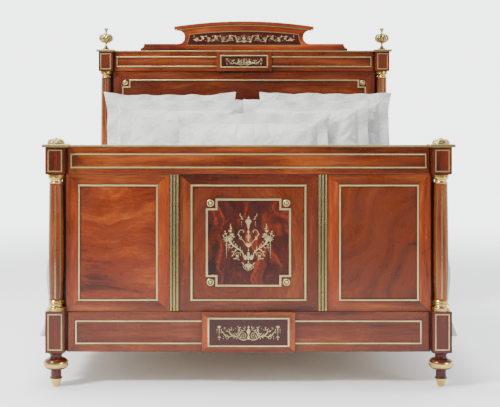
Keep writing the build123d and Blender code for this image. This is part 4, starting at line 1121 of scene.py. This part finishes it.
def make_coverlet():
    """A plain cloth over the mattress, its sides falling in loose folds and its foot tucked in."""
    low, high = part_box("coverlet")
    top = high.z - 0.002
    hem = low.z + 0.004
    profile = [(0.0, top), (0.30, top), (0.60, top), (0.70, top - 0.001), (0.742, top - 0.007),
               (0.776, top - 0.026), (0.800, top - 0.055), (0.818, top - 0.095), (0.822, top - 0.16),
               (0.812, 0.34), (0.822, 0.26), (0.846, hem)]
    line = through(profile, 12)
    lengths = [0.0]
    for a, b in zip(line, line[1:]):
        lengths.append(lengths[-1] + float(np.hypot(*(b - a))))
    total = lengths[-1]
    cell = 0.016
    across = 2 * round(total / cell)
    xs = np.interp(np.linspace(0, total, across // 2 + 1), lengths, [p[0] for p in line])
    zs = np.interp(np.linspace(0, total, across // 2 + 1), lengths, [p[1] for p in line])
    y0, y1 = -0.961, 0.961
    tuck = 0.145
    corner_x = 0.715
    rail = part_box("side_rail_right")[1]
    rail_out, rail_top = rail.x, rail.z
    run = round((y1 - y0) / cell)
    tuck_rows = round(tuck / cell)
    bm = bmesh.new()
    grid = {}
    for i in range(across + 1):
        k = abs(i - across // 2)
        side = 1 if i >= across // 2 else -1
        x, z = side * xs[k], zs[k]
        fall = max(0.0, (top - 0.06 - z) / (top - 0.06 - hem))
        for j in range(-tuck_rows, run + 1):
            y = y0 + (y1 - y0) * max(0, j) / run
            px, pz = x, z
            if fall > 0:
                phase = y * 31 + 2.2 * ripple((side * 2.0, y, 0), 2.4, 5.0)
                depth = 0.004 + 0.012 * fall ** 1.3
                fold = math.sin(phase) * (0.65 + 0.5 * ripple((side, y, 0), 3.1, 9.0))
                px += side * depth * fold
                y += depth * 0.5 * math.cos(phase)
                pz += 0.004 * fall * ripple((side, y, 0), 2.0, 2.0)
                px = side * min(abs(px), high.x + 0.008)
            else:
                pz += 0.0022 * ripple((x, y, 0), 5.0, 1.0) + 0.0012 * ripple((x, y, 0), 14.0, 2.0)
            if j < 0:
                t = -j / tuck_rows
                bend = min(1.0, t * 4)
                y = y0 - 0.006 * math.sin(bend * math.pi / 2)
                if abs(x) > corner_x:
                    reach = tuck if z > rail_top + 0.03 else max(0.012, abs(x) - rail_out - 0.006)
                    px = side * (abs(px) - reach * t)
                    y += 0.002
                else:
                    pz = top - 0.002 - tuck * t + 0.004 * (1 - bend)
            grid[i, j] = bm.verts.new((px, y, pz))
    for i in range(across):
        for j in range(-tuck_rows, run):
            sides = [xs[abs(k - across // 2)] > corner_x for k in (i, i + 1)]
            if j < 0 and sides[0] != sides[1]:
                continue
            bm.faces.new([grid[i + a, j + b] for a, b in ((0, 0), (1, 0), (1, 1), (0, 1))])
    bm.normal_update()
    area = sum(face.calc_area() for face in bm.faces)
    piece = finish_piece("coverlet_cloth", bm, COVERLET, "mattress")
    thick = piece.modifiers.new("thickness", "SOLIDIFY")
    thick.thickness = 0.0025
    thick.offset = -1
    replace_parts(piece, "coverlet")


make_pillows()
soft_box("mattress_ticking", "mattress", "mattress", TICKING, 0.025, tuft=(0.25, 0.25))
soft_box("sprung_base_cover", "sprung_base", "bedstead", TICKING, 0.04)
make_coverlet()


# ------------------------------------------------------------------ room, light and camera
def make_floor():
    bm = bmesh.new()
    bmesh.ops.create_grid(bm, x_segments=1, y_segments=1, size=14.0)
    mesh = bpy.data.meshes.new("floor")
    bm.to_mesh(mesh)
    bm.free()
    floor = bpy.data.objects.new("floor", mesh)
    paint = Paint("pale_floor", roughness=0.9)
    grey = paint.noise(paint.place(), 1.5, 2.0)
    paint.feed("Base Color", paint.mix(grey, (0.90, 0.90, 0.90), (0.93, 0.93, 0.93)))
    x, y, z = paint.split(paint.place())
    paint.feed("Alpha", paint.ease((x * x + y * y) ** 0.5, 2.6, 7.0, 1.0, 0.0))
    mesh.materials.append(paint.material)
    bpy.context.scene.collection.objects.link(floor)


def soft_light(name, place, aim, power, size, colour=(1, 1, 1)):
    data = bpy.data.lights.new(name, "AREA")
    data.energy = power
    data.shape = "RECTANGLE"
    data.size, data.size_y = size
    data.color = colour
    lamp = bpy.data.objects.new(name, data)
    lamp.location = place
    lamp.rotation_euler = (Vector(aim) - Vector(place)).to_track_quat("-Z", "Y").to_euler()
    bpy.context.scene.collection.objects.link(lamp)


def make_room():
    world = bpy.data.worlds.new("room")
    bpy.context.scene.world = world
    world.use_nodes = True
    air = Nodes(world.node_tree)
    x, y, z = air.split(air.node("ShaderNodeTexCoord"))
    glow = world.node_tree.nodes["Background"]
    air.put(glow.inputs[0], (0.96, 0.98, 1.0))
    air.put(glow.inputs[1], air.ease(y, -0.5, 0.95, 0.36, 4.2))
    soft_light("key", (-3.6, -3.9, 4.3), (0, -0.4, 0.7), 540, (1.3, 1.3))
    soft_light("fill", (4.3, -4.1, 2.0), (0, -0.5, 0.7), 120, (2.2, 2.2))
    soft_light("top", (-0.6, -0.6, 4.6), (0, 0.5, 0.6), 150, (1.2, 1.2))
    camera = bpy.data.cameras.new("camera")
    camera.sensor_width = 36
    camera.lens = 92.4
    camera.shift_x = 0.0348
    camera.shift_y = -0.181
    stand = bpy.data.objects.new("camera", camera)
    stand.location = (-0.064, -6.194, 1.1)
    stand.rotation_euler = (math.radians(90), 0, 0)
    bpy.context.scene.collection.objects.link(stand)
    bpy.context.scene.camera = stand


make_floor()
make_room()
